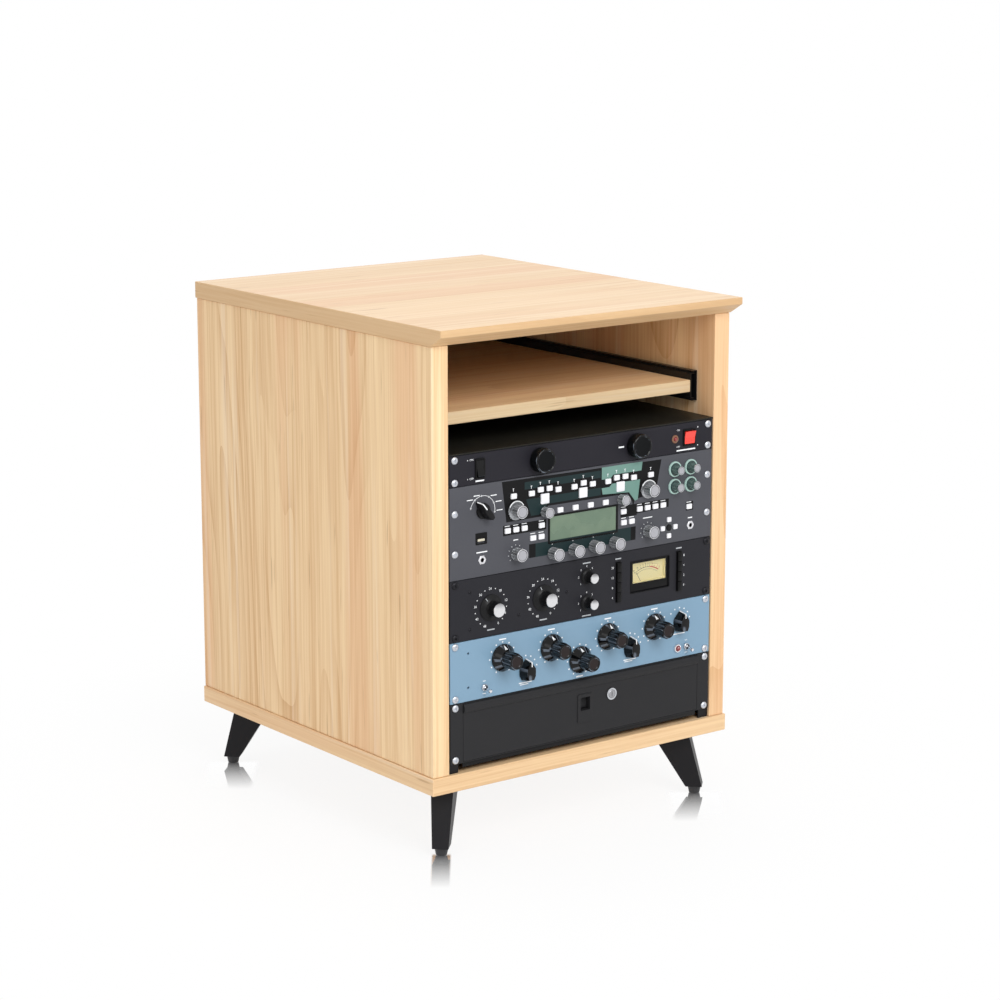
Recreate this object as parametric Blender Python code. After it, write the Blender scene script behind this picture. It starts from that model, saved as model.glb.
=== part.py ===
"""Studio rack table: a laminated cabinet on splayed legs, with a pull-out shelf and ten rack units of gear.

Metres, +Z up, +Y towards the back, the floor at Z = 0 and the middle of the bounding box at X = Y = 0.
"""

import math

import bmesh
import bpy
from mathutils import Matrix, Vector

# General clearances
SEAT = 0.0003  # between faces that rest on each other
RUN = 0.0004  # between faces that slide or turn on each other
SHAFT_RUN = 0.0006  # round a shaft in its hole, across the facets

# Cabinet
TABLE_HEIGHT = 0.7645  # floor to tabletop
SIDE_THICKNESS = 0.028
SIDE_DEPTH = 0.611
BOTTOM_THICKNESS = 0.025
TOP_THICKNESS = 0.025
TOP_NOSE = 0.010  # upright part of the top's front edge, above its undercut
TOP_FRONT_OVERHANG = 0.0254
BOARD_OVERHANG = 0.0027  # top and bottom past the side panels
EDGE_EASE = 0.0008
BACK_THICKNESS = 0.006
BACK_INSET = 0.002
LEG_HEIGHT = 0.100  # floor to the bottom board, foot included
SERVICE_WIDTH = 0.400  # the back panel's opening behind the rack
SERVICE_HEIGHT = 0.330
SERVICE_CORNER = 0.030
CABLE_SLOT_WIDTH = 0.140  # the back panel's slot behind the shelf bay
CABLE_SLOT_HEIGHT = 0.040
CABLE_SLOT_CORNER = 0.0195
CABLE_SLOT_DROP = 0.05555  # from the underside of the top to the slot's middle

# Rack
RACK_UNITS = 10
UNIT = 0.04445
RACK_GAP = 0.0136  # under the lowest unit
FACE_SETBACK = 0.0008
PLATE_WIDTH = 0.4826
PLATE_SIDE_GAP = 0.0022  # between a faceplate and the side panel
PLATE_THICKNESS = 0.003
PLATE_SHRINK = 0.0008  # a faceplate is this much lower than its units
ROOT_DEPTH = 0.0012  # how deep what stands on a faceplate is let into it
SCREW_FROM_END = 0.00875  # from the middle of a screw's slot to the end of the faceplate
SCREW_EDGE = 0.00635  # first and last hole from the ends of a unit
TALL_UNITS = 3  # gear from this height up has its screws further in
SLOT_WIDTH = 0.0068
SLOT_LENGTH = 0.0100
SLOT_FLAT = 0.0002  # half the flat left at each end of a slot
RAIL_FLANGE = 0.0185
RAIL_RETURN = 0.030
RAIL_THICKNESS = 0.002
RAIL_HOLE = 0.0095  # square, for cage nuts
DIVIDER_THICKNESS = 0.002
DIVIDER_GROOVE = 0.004
DIVIDER_STOP = 0.012  # the grooves end this far behind the front

# Unit cases
EAR_WIDTH = 0.0223  # how far a faceplate stands out past its case on each side
CASE_WALL = 0.0015
CASE_SHRINK = 0.0032
CONDITIONER_CASE_DEPTH = 0.267
MODELLER_CASE_DEPTH = 0.250
COMPRESSOR_CASE_DEPTH = 0.305
EQUALISER_CASE_DEPTH = 0.280
INLET_WIDTH = 0.0275
INLET_HEIGHT = 0.0205
INLET_FROM_SIDE = 0.045
INLET_REACH = 0.0022  # the mains inlet's body behind the case

# Shelf and slides
SHELF_THICKNESS = 0.018
SHELF_DEPTH = 0.500
SHELF_SETBACK = 0.0385
SHELF_RISE = 0.0205  # from the rack divider to the lower edge of the slides
SLIDE_HEIGHT = 0.045
SLIDE_WIDTH = 0.0127
SLIDE_LENGTH = 0.500
SLIDE_SHEET = 0.0012
OUTER_LIP = 0.0088
MIDDLE_LIP = 0.0084
INNER_LIP = 0.0072
MIDDLE_SETBACK = 0.010  # the middle members are this much shorter at each end

# Legs and feet
LEG_TOP_LENGTH = 0.057
LEG_TOP_WIDTH = 0.033
LEG_FOOT_LENGTH = 0.025
LEG_FOOT_WIDTH = 0.024
LEG_INSET_X = 0.0590  # middle of a leg's top from the side panel's outer face
LEG_INSET_Y = 0.0530
LEG_SPLAY = 0.0375  # how far the foot stands out along the diagonal
LEG_PLATE_SIZE = 0.064
LEG_PLATE_THICKNESS = 0.0025
LEG_PLATE_HOLE = 0.005
LEG_PLATE_PITCH = 0.046
FOOT_HEIGHT = 0.0115
FOOT_TOP_RADIUS = 0.00925
FOOT_FLOOR_RADIUS = 0.0062
FOOT_STEM_RADIUS = 0.004
FOOT_STEM_LENGTH = 0.022

# Knobs
KNOB_STUB_RADIUS = 0.0026
KNOB_STUB_LENGTH = 0.009
LARGE_KNOB_SKIRT = 0.040
LARGE_KNOB_CAP = 0.025
LARGE_KNOB_REACH = 0.0338
LARGE_KNOB_SIDES = 24
FLUTES = 8
FLUTE_DEPTH = 0.0016
POINTER_KNOB_SIZE = 0.025
POINTER_KNOB_REACH = 0.0165
COMPRESSOR_KNOB_SKIRT = 0.030
COMPRESSOR_KNOB_CAP = 0.0172
COMPRESSOR_KNOB_REACH = 0.0205
SMALL_COMPRESSOR_SKIRT = 0.020
SMALL_COMPRESSOR_CAP = 0.0132
SMALL_COMPRESSOR_REACH = 0.019
RING_KNOB_COLLAR = 0.028
RING_KNOB_CAP = 0.0185
RING_KNOB_REACH = 0.0165
SOFT_KNOB_CAP = 0.0172
SOFT_KNOB_REACH = 0.0175
TYPE_KNOB_CAP = 0.0142
TYPE_KNOB_REACH = 0.0135
EFFECT_KNOB_CAP = 0.0120
EFFECT_KNOB_COLLAR = 0.024
EFFECT_KNOB_REACH = 0.0165
EFFECT_COLLAR_REACH = 0.0030
EFFECT_KNOBS_CENTRE = (0.1840, 0.03535)
EFFECT_KNOBS_PITCH = (0.0308, 0.0258)
SELECTOR_LENGTH = 0.034
SELECTOR_WIDTH = 0.014
SELECTOR_REACH = 0.016
SELECTOR_REST = 45  # degrees, turned to the left from straight up

# Power conditioner controls
LIGHT_CAP_RADIUS = 0.0178
LIGHT_CAP_REACH = 0.017
LIGHT_TUBE_RADIUS = 0.0125
LIGHT_TUBE_LENGTH = 0.110
POWER_ROCKER = (0.0118, 0.0225)
OUTLET_ROCKER = (0.0165, 0.0195)
ROCKER_RIM = 0.0022
ROCKER_RIM_HEIGHT = 0.0016
ROCKER_RUN = 0.0009
ROCKER_TILT = math.radians(8)
ROCKER_DEPTH = 0.007
LAMP_RADIUS = 0.003

# Buttons, window and sockets. A row's place is its distance below the top of its own piece of gear.
BUTTON_WIDTH = 0.0102
BUTTON_HEIGHT = 0.0078
BIG_BUTTON = 0.0145
PAD_BUTTON = 0.0088
BUTTON_REACH = 0.0022
BUTTON_TOP_ROW = 0.02485
BUTTON_ARCH = 0.0035
BIG_BUTTON_ROW = 0.03535
BIG_BUTTON_PITCH = 0.0696
SOFT_BUTTON_ROW = 0.05535
SOFT_BUTTON_PITCH = 0.0279
SIDE_BUTTON_ROW = 0.07335
SIDE_BUTTON_PITCH = 0.0150
LOW_BUTTON_ROW = 0.08975
PAD_CENTRE = (0.1587, 0.10905)
PAD_PITCH = 0.0122
SOFT_KNOB_ROW = 0.11675
SOFT_KNOB_PITCH = 0.0377
DISPLAY_WIDTH = 0.1225
DISPLAY_HEIGHT = 0.037
DISPLAY_RECESS = 0.0012
JACK_RING_RADIUS = 0.0062
JACK_RING_HEIGHT = 0.0012
JACK_HOLE_RADIUS = 0.0032
PORT_WIDTH = 0.0125
PORT_HEIGHT = 0.0115
SOCKET_DEPTH = 0.0022
SELECT_BUTTON_WIDTH = 0.0080
SELECT_BUTTON_HEIGHT = 0.0136
SELECT_BUTTON_PITCH = 0.0150
SELECT_BUTTON_REACH = 0.0040
METER_WIDTH = 0.0665
METER_HEIGHT = 0.0315
METER_FRAME_WIDTH = 0.082
METER_FRAME_HEIGHT = 0.055
METER_FRAME_REACH = 0.0025
METER_RECESS = 0.0038

# Equaliser toggles and lamp
BUSH_RADIUS = 0.0048
BUSH_BORE = 0.0031
BUSH_HEIGHT = 0.0042
BAT_RADIUS = 0.0013
BAT_TIP_RADIUS = 0.0021
BAT_LENGTH = 0.0125
BAT_REST = math.radians(11)
JEWEL_RADIUS = 0.0055
JEWEL_REACH = 0.0062

# Rack drawer
DRAWER_UNITS = 2
HOUSING_EAR = 0.0211
HOUSING_SHEET = 0.0012
HOUSING_DEPTH = 0.380
HOUSING_SHRINK = 0.0010
TRAY_DEPTH = 0.340
TRAY_SHEET = 0.0012
TRAY_SIDE_GAP = 0.0055
TRAY_RUNNER_HEIGHT = 0.012
TRAY_RUNNER_LENGTH = 0.300
TRAY_HEIGHT = 0.072
TRAY_FLOOR_GAP = 0.004
DRAWER_FRONT_THICKNESS = 0.0042
DRAWER_LIP_HEIGHT = 0.0135
DRAWER_LIP_REACH = 0.0040
LATCH_X = 0.0020
LATCH_DOWN = 0.0462  # middle of the latch plate below the top of the drawer's units
LATCH_PLATE_WIDTH = 0.0275
LATCH_PLATE_HEIGHT = 0.0425
LATCH_PLATE_REACH = 0.0014
LATCH_WINDOW_WIDTH = 0.0175
LATCH_WINDOW_HEIGHT = 0.0195
LATCH_WINDOW_UP = 0.0065
LATCH_LEVER_THICKNESS = 0.0018
LATCH_BARREL_RADIUS = 0.0020
LATCH_PIVOT_DEPTH = 0.0095  # behind the drawer's front face
LATCH_TAIL = 0.0070
LATCH_CASE_WALL = 0.0012
LATCH_CASE_DEPTH = 0.0140
LOCK_X = 0.0518
LOCK_DOWN = 0.0332
LOCK_COLLAR_RADIUS = 0.0090
LOCK_COLLAR_REACH = 0.0016
LOCK_PLUG_RADIUS = 0.0062
LOCK_PLUG_REACH = 0.0022
LOCK_BODY_LENGTH = 0.016
LOCK_CAM_LENGTH = 0.020
LOCK_CAM_THICKNESS = 0.0018
KEY_SLIT = 0.0011
KEY_SLIT_DEPTH = 0.0025

# Facets round a turned piece
FINE = 20
MEDIUM = 16
COARSE = 10
TINY = 8
EFFECT_KNOB_SIDES = 12

# Places that follow from the sizes above
INNER_WIDTH = PLATE_WIDTH + 2 * PLATE_SIDE_GAP
OUTER_WIDTH = INNER_WIDTH + 2 * SIDE_THICKNESS
SCREW_SPAN = PLATE_WIDTH - 2 * SCREW_FROM_END
CASE_WIDTH = PLATE_WIDTH - 2 * EAR_WIDTH
HOUSING_WIDTH = PLATE_WIDTH - 2 * HOUSING_EAR
FRONT = (LARGE_KNOB_REACH - FACE_SETBACK - SIDE_DEPTH) / 2  # front edge of the side panels
BACK = FRONT + SIDE_DEPTH
BOTTOM_TOP = LEG_HEIGHT + BOTTOM_THICKNESS
SIDE_BOTTOM = BOTTOM_TOP + SEAT
TOP_BOTTOM = TABLE_HEIGHT - TOP_THICKNESS
SIDE_TOP = TOP_BOTTOM - SEAT
RACK_BOTTOM = BOTTOM_TOP + RACK_GAP
RACK_TOP = RACK_BOTTOM + RACK_UNITS * UNIT
FACE = FRONT + FACE_SETBACK
RAIL_FRONT = FACE + PLATE_THICKNESS + SEAT
WALL_X = INNER_WIDTH / 2
SHELF_FRONT = FRONT + SHELF_SETBACK
SHELF_WIDTH = INNER_WIDTH - 2 * (SLIDE_WIDTH + SEAT)
BACK_FRONT_FACE = BACK - BACK_INSET - BACK_THICKNESS
DIVIDER_BOTTOM = RACK_TOP + SEAT
DIVIDER_TOP = DIVIDER_BOTTOM + DIVIDER_THICKNESS
SHELF_MIDDLE = DIVIDER_TOP + SHELF_RISE + SLIDE_HEIGHT / 2

# First unit row of each piece of gear, counted from the top, and its height in units
CONDITIONER_ROW, CONDITIONER_UNITS = 0, 1
MODELLER_ROW, MODELLER_UNITS = 1, 3
COMPRESSOR_ROW, COMPRESSOR_UNITS = 4, 2
EQUALISER_ROW, EQUALISER_UNITS = 6, 2
DRAWER_ROW = 8


def clear_scene():
    for obj in list(bpy.data.objects):
        bpy.data.objects.remove(obj)


def make_material(name, colour, roughness, metallic=0.0):
    material = bpy.data.materials.new(name)
    material.use_nodes = True
    shader = material.node_tree.nodes["Principled BSDF"]
    shader.inputs["Base Color"].default_value = (*colour, 1.0)
    shader.inputs["Roughness"].default_value = roughness
    shader.inputs["Metallic"].default_value = metallic
    material.diffuse_color = (*colour, 1.0)
    return material


def make_empty(name, location=(0, 0, 0), parent=None):
    empty = bpy.data.objects.new(name, None)
    empty.location = location
    empty.parent = parent
    bpy.context.scene.collection.objects.link(empty)
    return empty


def finish_object(name, bm, material, parent=None, location=(0, 0, 0), turn=0.0):
    """Closes bm into a named object at its place, its faces pointing out and its round faces shaded smooth."""
    bmesh.ops.remove_doubles(bm, verts=bm.verts, dist=1e-6)
    bmesh.ops.recalc_face_normals(bm, faces=bm.faces)
    mesh = bpy.data.meshes.new(name)
    bm.to_mesh(mesh)
    bm.free()
    mesh.shade_smooth()
    mesh.set_sharp_from_angle(angle=math.radians(32))
    obj = bpy.data.objects.new(name, mesh)
    if material:
        obj.data.materials.append(material)
    obj.location = location
    obj.rotation_euler = (0, 0, turn)
    obj.parent = parent
    bpy.context.scene.collection.objects.link(obj)
    return obj


def box(bm, low, high):
    """Adds an upright box between two corners."""
    size = Vector(high) - Vector(low)
    centre = (Vector(high) + Vector(low)) / 2
    matrix = Matrix.Translation(centre) @ Matrix.Diagonal((*size, 1))
    return bmesh.ops.create_cube(bm, size=1, matrix=matrix)["verts"]


def prism(bm, outline, start, end, axis="Z"):
    """Adds a closed outline pushed from start to end along an axis. The outline is in the other two axes, in order."""
    place = {
        "X": lambda a, b, c: (c, a, b),
        "Y": lambda a, b, c: (a, c, b),
        "Z": lambda a, b, c: (a, b, c),
    }[axis]
    first = [bm.verts.new(place(a, b, start)) for a, b in outline]
    second = [bm.verts.new(place(a, b, end)) for a, b in outline]
    bm.faces.new(first[::-1])
    bm.faces.new(second)
    count = len(outline)
    for i in range(count):
        j = (i + 1) % count
        bm.faces.new((first[i], first[j], second[j], second[i]))
    return first + second


def turned(bm, profile, sides, centre=(0, 0, 0), wave=None):
    """Adds a body of revolution about Z. The profile is (radius, height) pairs and starts and ends on the axis.
    wave(i, radius, height) may change the radius at the i-th side, for flutes and grips."""
    cx, cy, cz = centre
    rings = []
    for radius, height in profile:
        if radius == 0:
            rings.append([bm.verts.new((cx, cy, cz + height))])
            continue
        ring = []
        for i in range(sides):
            angle = 2 * math.pi * i / sides
            r = wave(i, radius, height) if wave else radius
            ring.append(bm.verts.new((cx + r * math.cos(angle), cy + r * math.sin(angle), cz + height)))
        rings.append(ring)
    for lower, upper in zip(rings, rings[1:]):
        for i in range(sides):
            j = (i + 1) % sides
            if len(lower) == 1:
                bm.faces.new((lower[0], upper[j], upper[i]))
            elif len(upper) == 1:
                bm.faces.new((lower[i], lower[j], upper[0]))
            else:
                bm.faces.new((lower[i], lower[j], upper[j], upper[i]))


def rounded_outline(width, height, radius, steps=3, centre=(0, 0)):
    """The outline of a rectangle with round corners."""
    points = []
    corners = ((1, 1, 0), (-1, 1, 90), (-1, -1, 180), (1, -1, 270))
    for sx, sy, first in corners:
        for i in range(steps + 1):
            angle = math.radians(first + 90 * i / steps)
            x = sx * (width / 2 - radius) + radius * math.cos(angle)
            y = sy * (height / 2 - radius) + radius * math.sin(angle)
            points.append((centre[0] + x, centre[1] + y))
    return points


def circle_outline(radius, sides, centre=(0, 0)):
    step = 2 * math.pi / sides
    angles = [step * (i + 0.5) for i in range(sides)]
    return [(centre[0] + radius * math.cos(a), centre[1] + radius * math.sin(a)) for a in angles]


def combine(obj, bm, operation="DIFFERENCE"):
    """Cuts the bodies of bm from obj, or joins them to it. bm is in obj's own axes."""
    helper = finish_object(obj.name + "_helper", bm, None)
    helper.parent = obj
    helper.hide_render = True
    helper.display_type = "WIRE"
    modifier = obj.modifiers.new(operation.title(), "BOOLEAN")
    modifier.operation = operation
    modifier.solver = "EXACT"
    modifier.object = helper


def ease_edges(obj, width=EDGE_EASE):
    modifier = obj.modifiers.new("Eased edges", "BEVEL")
    modifier.width = width
    modifier.segments = 1
    modifier.limit_method = "ANGLE"
    modifier.angle_limit = math.radians(40)


# Cabinet boards

def build_boards(maple, black):
    half = OUTER_WIDTH / 2 + BOARD_OVERHANG
    bm = bmesh.new()
    nose = FRONT - TOP_FRONT_OVERHANG
    top = TOP_BOTTOM + TOP_THICKNESS
    outline = [
        (nose, top),
        (nose, top - TOP_NOSE),
        (FRONT, TOP_BOTTOM),
        (BACK, TOP_BOTTOM),
        (BACK, top),
    ]
    prism(bm, outline, -half, half, "X")
    ease_edges(finish_object("top_panel", bm, maple))

    bm = bmesh.new()
    box(bm, (-half, FRONT - BOARD_OVERHANG, LEG_HEIGHT), (half, BACK, BOTTOM_TOP))
    ease_edges(finish_object("bottom_panel", bm, maple))

    for side, name in ((-1, "side_panel_left"), (1, "side_panel_right")):
        bm = bmesh.new()
        inner, outer = sorted((side * WALL_X, side * OUTER_WIDTH / 2))
        box(bm, (inner, FRONT, SIDE_BOTTOM), (outer, BACK, SIDE_TOP))
        panel = finish_object(name, bm, maple)
        ease_edges(panel)
        bm = bmesh.new()
        near = side * (WALL_X - DIVIDER_GROOVE)
        far = side * (WALL_X + DIVIDER_GROOVE + SEAT)
        low = (min(near, far), FRONT + DIVIDER_STOP, DIVIDER_BOTTOM - SEAT)
        high = (max(near, far), BACK_FRONT_FACE, DIVIDER_TOP + SEAT)
        box(bm, low, high)
        combine(panel, bm)

    bm = bmesh.new()
    tongue = WALL_X + DIVIDER_GROOVE
    body = WALL_X - SEAT
    stop = FRONT + DIVIDER_STOP + SEAT
    rear = BACK_FRONT_FACE - SEAT
    outline = [
        (-body, FACE),
        (body, FACE),
        (body, stop),
        (tongue, stop),
        (tongue, rear),
        (-tongue, rear),
        (-tongue, stop),
        (-body, stop),
    ]
    prism(bm, outline, DIVIDER_BOTTOM, DIVIDER_TOP)
    finish_object("rack_divider", bm, black)

    build_back_panel(black)


def build_back_panel(black):
    """A thin panel let in between the sides, with a wide opening behind the rack and a cable slot behind the shelf bay."""
    bm = bmesh.new()
    half = WALL_X - SEAT
    low = (-half, BACK_FRONT_FACE, BOTTOM_TOP + SEAT)
    high = (half, BACK_FRONT_FACE + BACK_THICKNESS, TOP_BOTTOM - SEAT)
    box(bm, low, high)
    panel = finish_object("back_panel", bm, black)
    bm = bmesh.new()
    before = BACK_FRONT_FACE - BACK_THICKNESS
    behind = BACK_FRONT_FACE + 2 * BACK_THICKNESS
    service_middle = (RACK_BOTTOM + RACK_TOP) / 2
    slot_middle = TOP_BOTTOM - CABLE_SLOT_DROP
    service = rounded_outline(SERVICE_WIDTH, SERVICE_HEIGHT, SERVICE_CORNER, 3, (0, service_middle))
    slot = rounded_outline(CABLE_SLOT_WIDTH, CABLE_SLOT_HEIGHT, CABLE_SLOT_CORNER, 4, (0, slot_middle))
    for outline in (service, slot):
        prism(bm, outline, before, behind, "Y")
    combine(panel, bm)


# Legs and feet

def build_legs(steel, rubber):
    height = LEG_HEIGHT - FOOT_HEIGHT - SEAT
    leg_x = OUTER_WIDTH / 2 - LEG_INSET_X
    middle_y = (FRONT + BACK) / 2
    leg_y = SIDE_DEPTH / 2 - LEG_INSET_Y
    places = {
        "front_left": (-1, -1),
        "front_right": (1, -1),
        "rear_left": (-1, 1),
        "rear_right": (1, 1),
    }
    for name, (sx, sy) in places.items():
        turn = math.atan2(sy, sx)
        top = (sx * leg_x, middle_y + sy * leg_y, LEG_HEIGHT - SEAT)
        leg = finish_object("leg_" + name, leg_body(height), steel, location=top, turn=turn)
        bm = bmesh.new()
        stem_hole = circle_outline(FOOT_STEM_RADIUS + SHAFT_RUN, TINY, (LEG_SPLAY, 0))
        prism(bm, stem_hole, -height - RUN, -height + FOOT_STEM_LENGTH + RUN)
        for px in (-1, 1):
            for py in (-1, 1):
                corner = (px * LEG_PLATE_PITCH / 2, py * LEG_PLATE_PITCH / 2)
                hole = circle_outline(LEG_PLATE_HOLE / 2, TINY, corner)
                prism(bm, hole, -2 * LEG_PLATE_THICKNESS, LEG_PLATE_THICKNESS)
        combine(leg, bm)
        reach = LEG_SPLAY / math.sqrt(2)
        foot_at = (top[0] + sx * reach, top[1] + sy * reach, 0)
        build_foot("foot_" + name, rubber, foot_at)


def leg_body(height):
    """A tapered four-sided leg in its own axes: +X is outwards along the diagonal, Z = 0 is the mounting face.
    Its plate is hidden under the bottom board and its screws go up through the four corner holes."""
    bm = bmesh.new()
    top = [(x * LEG_TOP_LENGTH / 2, y * LEG_TOP_WIDTH / 2) for x, y in ((1, -1), (1, 1), (-1, 1), (-1, -1))]
    foot = [
        (LEG_SPLAY + x * LEG_FOOT_LENGTH / 2, y * LEG_FOOT_WIDTH / 2)
        for x, y in ((1, -1), (1, 1), (-1, 1), (-1, -1))
    ]
    plate = [(x * LEG_PLATE_SIZE / 2, y * LEG_PLATE_SIZE / 2) for x, y in ((1, -1), (1, 1), (-1, 1), (-1, -1))]
    neck = -LEG_PLATE_THICKNESS
    upper = [bm.verts.new((x, y, 0)) for x, y in plate]
    under = [bm.verts.new((x, y, neck)) for x, y in plate]
    shoulder = [bm.verts.new((x, y, neck)) for x, y in top]
    tip = [bm.verts.new((x, y, -height)) for x, y in foot]
    bm.faces.new(upper)
    bm.faces.new(tip[::-1])
    for first, second in ((upper, under), (under, shoulder), (shoulder, tip)):
        for i in range(4):
            j = (i + 1) % 4
            bm.faces.new((first[i], first[j], second[j], second[i]))
    return bm


def build_foot(name, rubber, place):
    """A levelling foot: a stepped, tapered glide with a stem that screws up into the leg."""
    shoulder = FOOT_HEIGHT * 0.72
    profile = [
        (0, 0),
        (FOOT_FLOOR_RADIUS, 0),
        (FOOT_FLOOR_RADIUS * 1.15, FOOT_HEIGHT * 0.35),
        (FOOT_TOP_RADIUS * 0.88, shoulder),
        (FOOT_TOP_RADIUS, shoulder),
        (FOOT_TOP_RADIUS, FOOT_HEIGHT),
        (FOOT_STEM_RADIUS, FOOT_HEIGHT),
        (FOOT_STEM_RADIUS, FOOT_HEIGHT + FOOT_STEM_LENGTH),
        (0, FOOT_HEIGHT + FOOT_STEM_LENGTH),
    ]
    bm = bmesh.new()
    turned(bm, profile, COARSE)
    finish_object(name, bm, rubber, location=place)


# Shelf and its telescopic slides

def channel(wall, lip, sheet, half_height):
    """A channel's outline: u from the cabinet's wall towards the shelf, v up. The web is at wall and the lips point
    to the shelf where lip is positive, and back to the wall where it is negative."""
    step = math.copysign(sheet, lip)
    return [
        (wall, -half_height),
        (wall + lip, -half_height),
        (wall + lip, -half_height + sheet),
        (wall + step, -half_height + sheet),
        (wall + step, half_height - sheet),
        (wall + lip, half_height - sheet),
        (wall + lip, half_height),
        (wall, half_height),
    ]


def build_shelf(maple, black):
    shelf = make_empty("shelf_body", (0, SHELF_FRONT, SHELF_MIDDLE))
    middle = make_empty("slide_body", (0, SHELF_FRONT, SHELF_MIDDLE))
    fixed = make_empty("slide_fixed", (0, SHELF_FRONT, SHELF_MIDDLE))
    bm = bmesh.new()
    half = SHELF_WIDTH / 2
    box(bm, (-half, 0, -SHELF_THICKNESS / 2), (half, SHELF_DEPTH, SHELF_THICKNESS / 2))
    ease_edges(finish_object("shelf_board", bm, maple, shelf))

    step = SLIDE_SHEET + RUN
    members = (
        ("slide_outer", 0, SEAT, OUTER_LIP, 0, fixed),
        ("slide_middle", 1, SEAT + step, MIDDLE_LIP, MIDDLE_SETBACK, middle),
        ("slide_inner", 2, SLIDE_WIDTH, -INNER_LIP, 0, shelf),
    )
    for name, nest, web, lip, setback, parent in members:
        outline = channel(web, lip, SLIDE_SHEET, SLIDE_HEIGHT / 2 - nest * step)
        for side, end in ((-1, "_left"), (1, "_right")):
            bm = bmesh.new()
            mirrored = [(side * (WALL_X - u), v) for u, v in outline]
            prism(bm, mirrored, setback, SLIDE_LENGTH - setback, "Y")
            finish_object(name + end, bm, black, parent)


# Rack rails and screws

def screw_rows(units):
    """Distances of a piece of gear's screws below its top edge. A tall one's stand almost a unit in from its ends."""
    inset = SCREW_EDGE if units < TALL_UNITS else UNIT - SCREW_EDGE
    return (inset, units * UNIT - inset)


def screw_slot(side, drop):
    """The slot for a rack screw, in a faceplate's own axes."""
    centre = (side * SCREW_SPAN / 2, -drop)
    return rounded_outline(SLOT_LENGTH, SLOT_WIDTH, SLOT_WIDTH / 2 - SLOT_FLAT, 2, centre)


def build_rails(black):
    """Two steel angles with the standard three holes in each rack unit."""
    bottom = BOTTOM_TOP + SEAT
    outline = [
        (WALL_X - SEAT, RAIL_FRONT),
        (WALL_X - SEAT, RAIL_FRONT + RAIL_RETURN),
        (WALL_X - SEAT - RAIL_THICKNESS, RAIL_FRONT + RAIL_RETURN),
        (WALL_X - SEAT - RAIL_THICKNESS, RAIL_FRONT + RAIL_THICKNESS),
        (WALL_X - RAIL_FLANGE, RAIL_FRONT + RAIL_THICKNESS),
        (WALL_X - RAIL_FLANGE, RAIL_FRONT),
    ]
    for side, name in ((-1, "rack_rail_left"), (1, "rack_rail_right")):
        bm = bmesh.new()
        prism(bm, [(side * x, y) for x, y in outline], bottom, RACK_TOP)
        rail = finish_object(name, bm, black)
        bm = bmesh.new()
        for unit in range(RACK_UNITS):
            for drop in (SCREW_EDGE, UNIT / 2, UNIT - SCREW_EDGE):
                x, z = side * SCREW_SPAN / 2, RACK_TOP - unit * UNIT - drop
                low = (x - RAIL_HOLE / 2, RAIL_FRONT - RAIL_THICKNESS, z - RAIL_HOLE / 2)
                high = (x + RAIL_HOLE / 2, RAIL_FRONT + 2 * RAIL_THICKNESS, z + RAIL_HOLE / 2)
                box(bm, low, high)
        combine(rail, bm)


# Faceplates

class Faceplate:
    """A piece of rack gear seen from the front: x to the right, y up from the top of its units, z out of its face.
    Its faceplate and the folded case behind it are one body, hollow, with the mains inlet's block at the back."""

    def __init__(self, name, row, units, case_depth, face, material):
        self.origin = make_empty(name + "_face", (0, -row * UNIT, 0), face)
        self.height = units * UNIT
        half = PLATE_WIDTH / 2
        bm = bmesh.new()
        low = (-half, -self.height + PLATE_SHRINK / 2, -PLATE_THICKNESS)
        box(bm, low, (half, -PLATE_SHRINK / 2, 0))
        self.body = finish_object(name, bm, material, self.origin)
        self.add_case(case_depth)
        self.raised = bmesh.new()
        self.cuts = bmesh.new()
        for drop in screw_rows(units):
            for side in (-1, 1):
                self.cut_through(screw_slot(side, drop))

    def add_case(self, depth):
        half = CASE_WIDTH / 2
        top = -CASE_SHRINK / 2
        bottom = -self.height + CASE_SHRINK / 2
        rear = -PLATE_THICKNESS - depth
        bm = bmesh.new()
        box(bm, (-half, bottom, rear), (half, top, -PLATE_THICKNESS / 2))
        combine(self.body, bm, "UNION")
        bm = bmesh.new()
        low = (-half + CASE_WALL, bottom + CASE_WALL, rear + CASE_WALL)
        box(bm, low, (half - CASE_WALL, top - CASE_WALL, -PLATE_THICKNESS))
        combine(self.body, bm)
        bm = bmesh.new()
        x, y = half - INLET_FROM_SIDE, -self.height / 2
        low = (x - INLET_WIDTH / 2, y - INLET_HEIGHT / 2, rear - INLET_REACH)
        box(bm, low, (x + INLET_WIDTH / 2, y + INLET_HEIGHT / 2, rear + CASE_WALL / 2))
        combine(self.body, bm, "UNION")

    def cut_through(self, outline):
        prism(self.cuts, outline, -2 * PLATE_THICKNESS, 3 * PLATE_THICKNESS)

    def pocket(self, outline, depth):
        prism(self.cuts, outline, -depth, 3 * PLATE_THICKNESS)

    def shaft_hole(self, x, down, radius=KNOB_STUB_RADIUS, sides=COARSE):
        self.cut_through(circle_outline(radius + SHAFT_RUN, sides, (x, -down)))

    def raise_on_face(self, outline, reach):
        prism(self.raised, outline, -ROOT_DEPTH, reach)

    def raise_button(self, x, down, width, height, reach):
        low = (x - width / 2, -down - height / 2, -ROOT_DEPTH)
        box(self.raised, low, (x + width / 2, -down + height / 2, reach))

    def close(self):
        """Joins what stands on the plate, then makes the cuts, so that a cut goes through a rim or a bush too."""
        if self.raised.verts:
            combine(self.body, self.raised, "UNION")
        combine(self.body, self.cuts)


def stub():
    """The lower end of every knob's profile: its shaft through the faceplate, up to the back of the knob."""
    return [
        (0, -KNOB_STUB_LENGTH),
        (KNOB_STUB_RADIUS, -KNOB_STUB_LENGTH),
        (KNOB_STUB_RADIUS, RUN),
    ]


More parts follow.
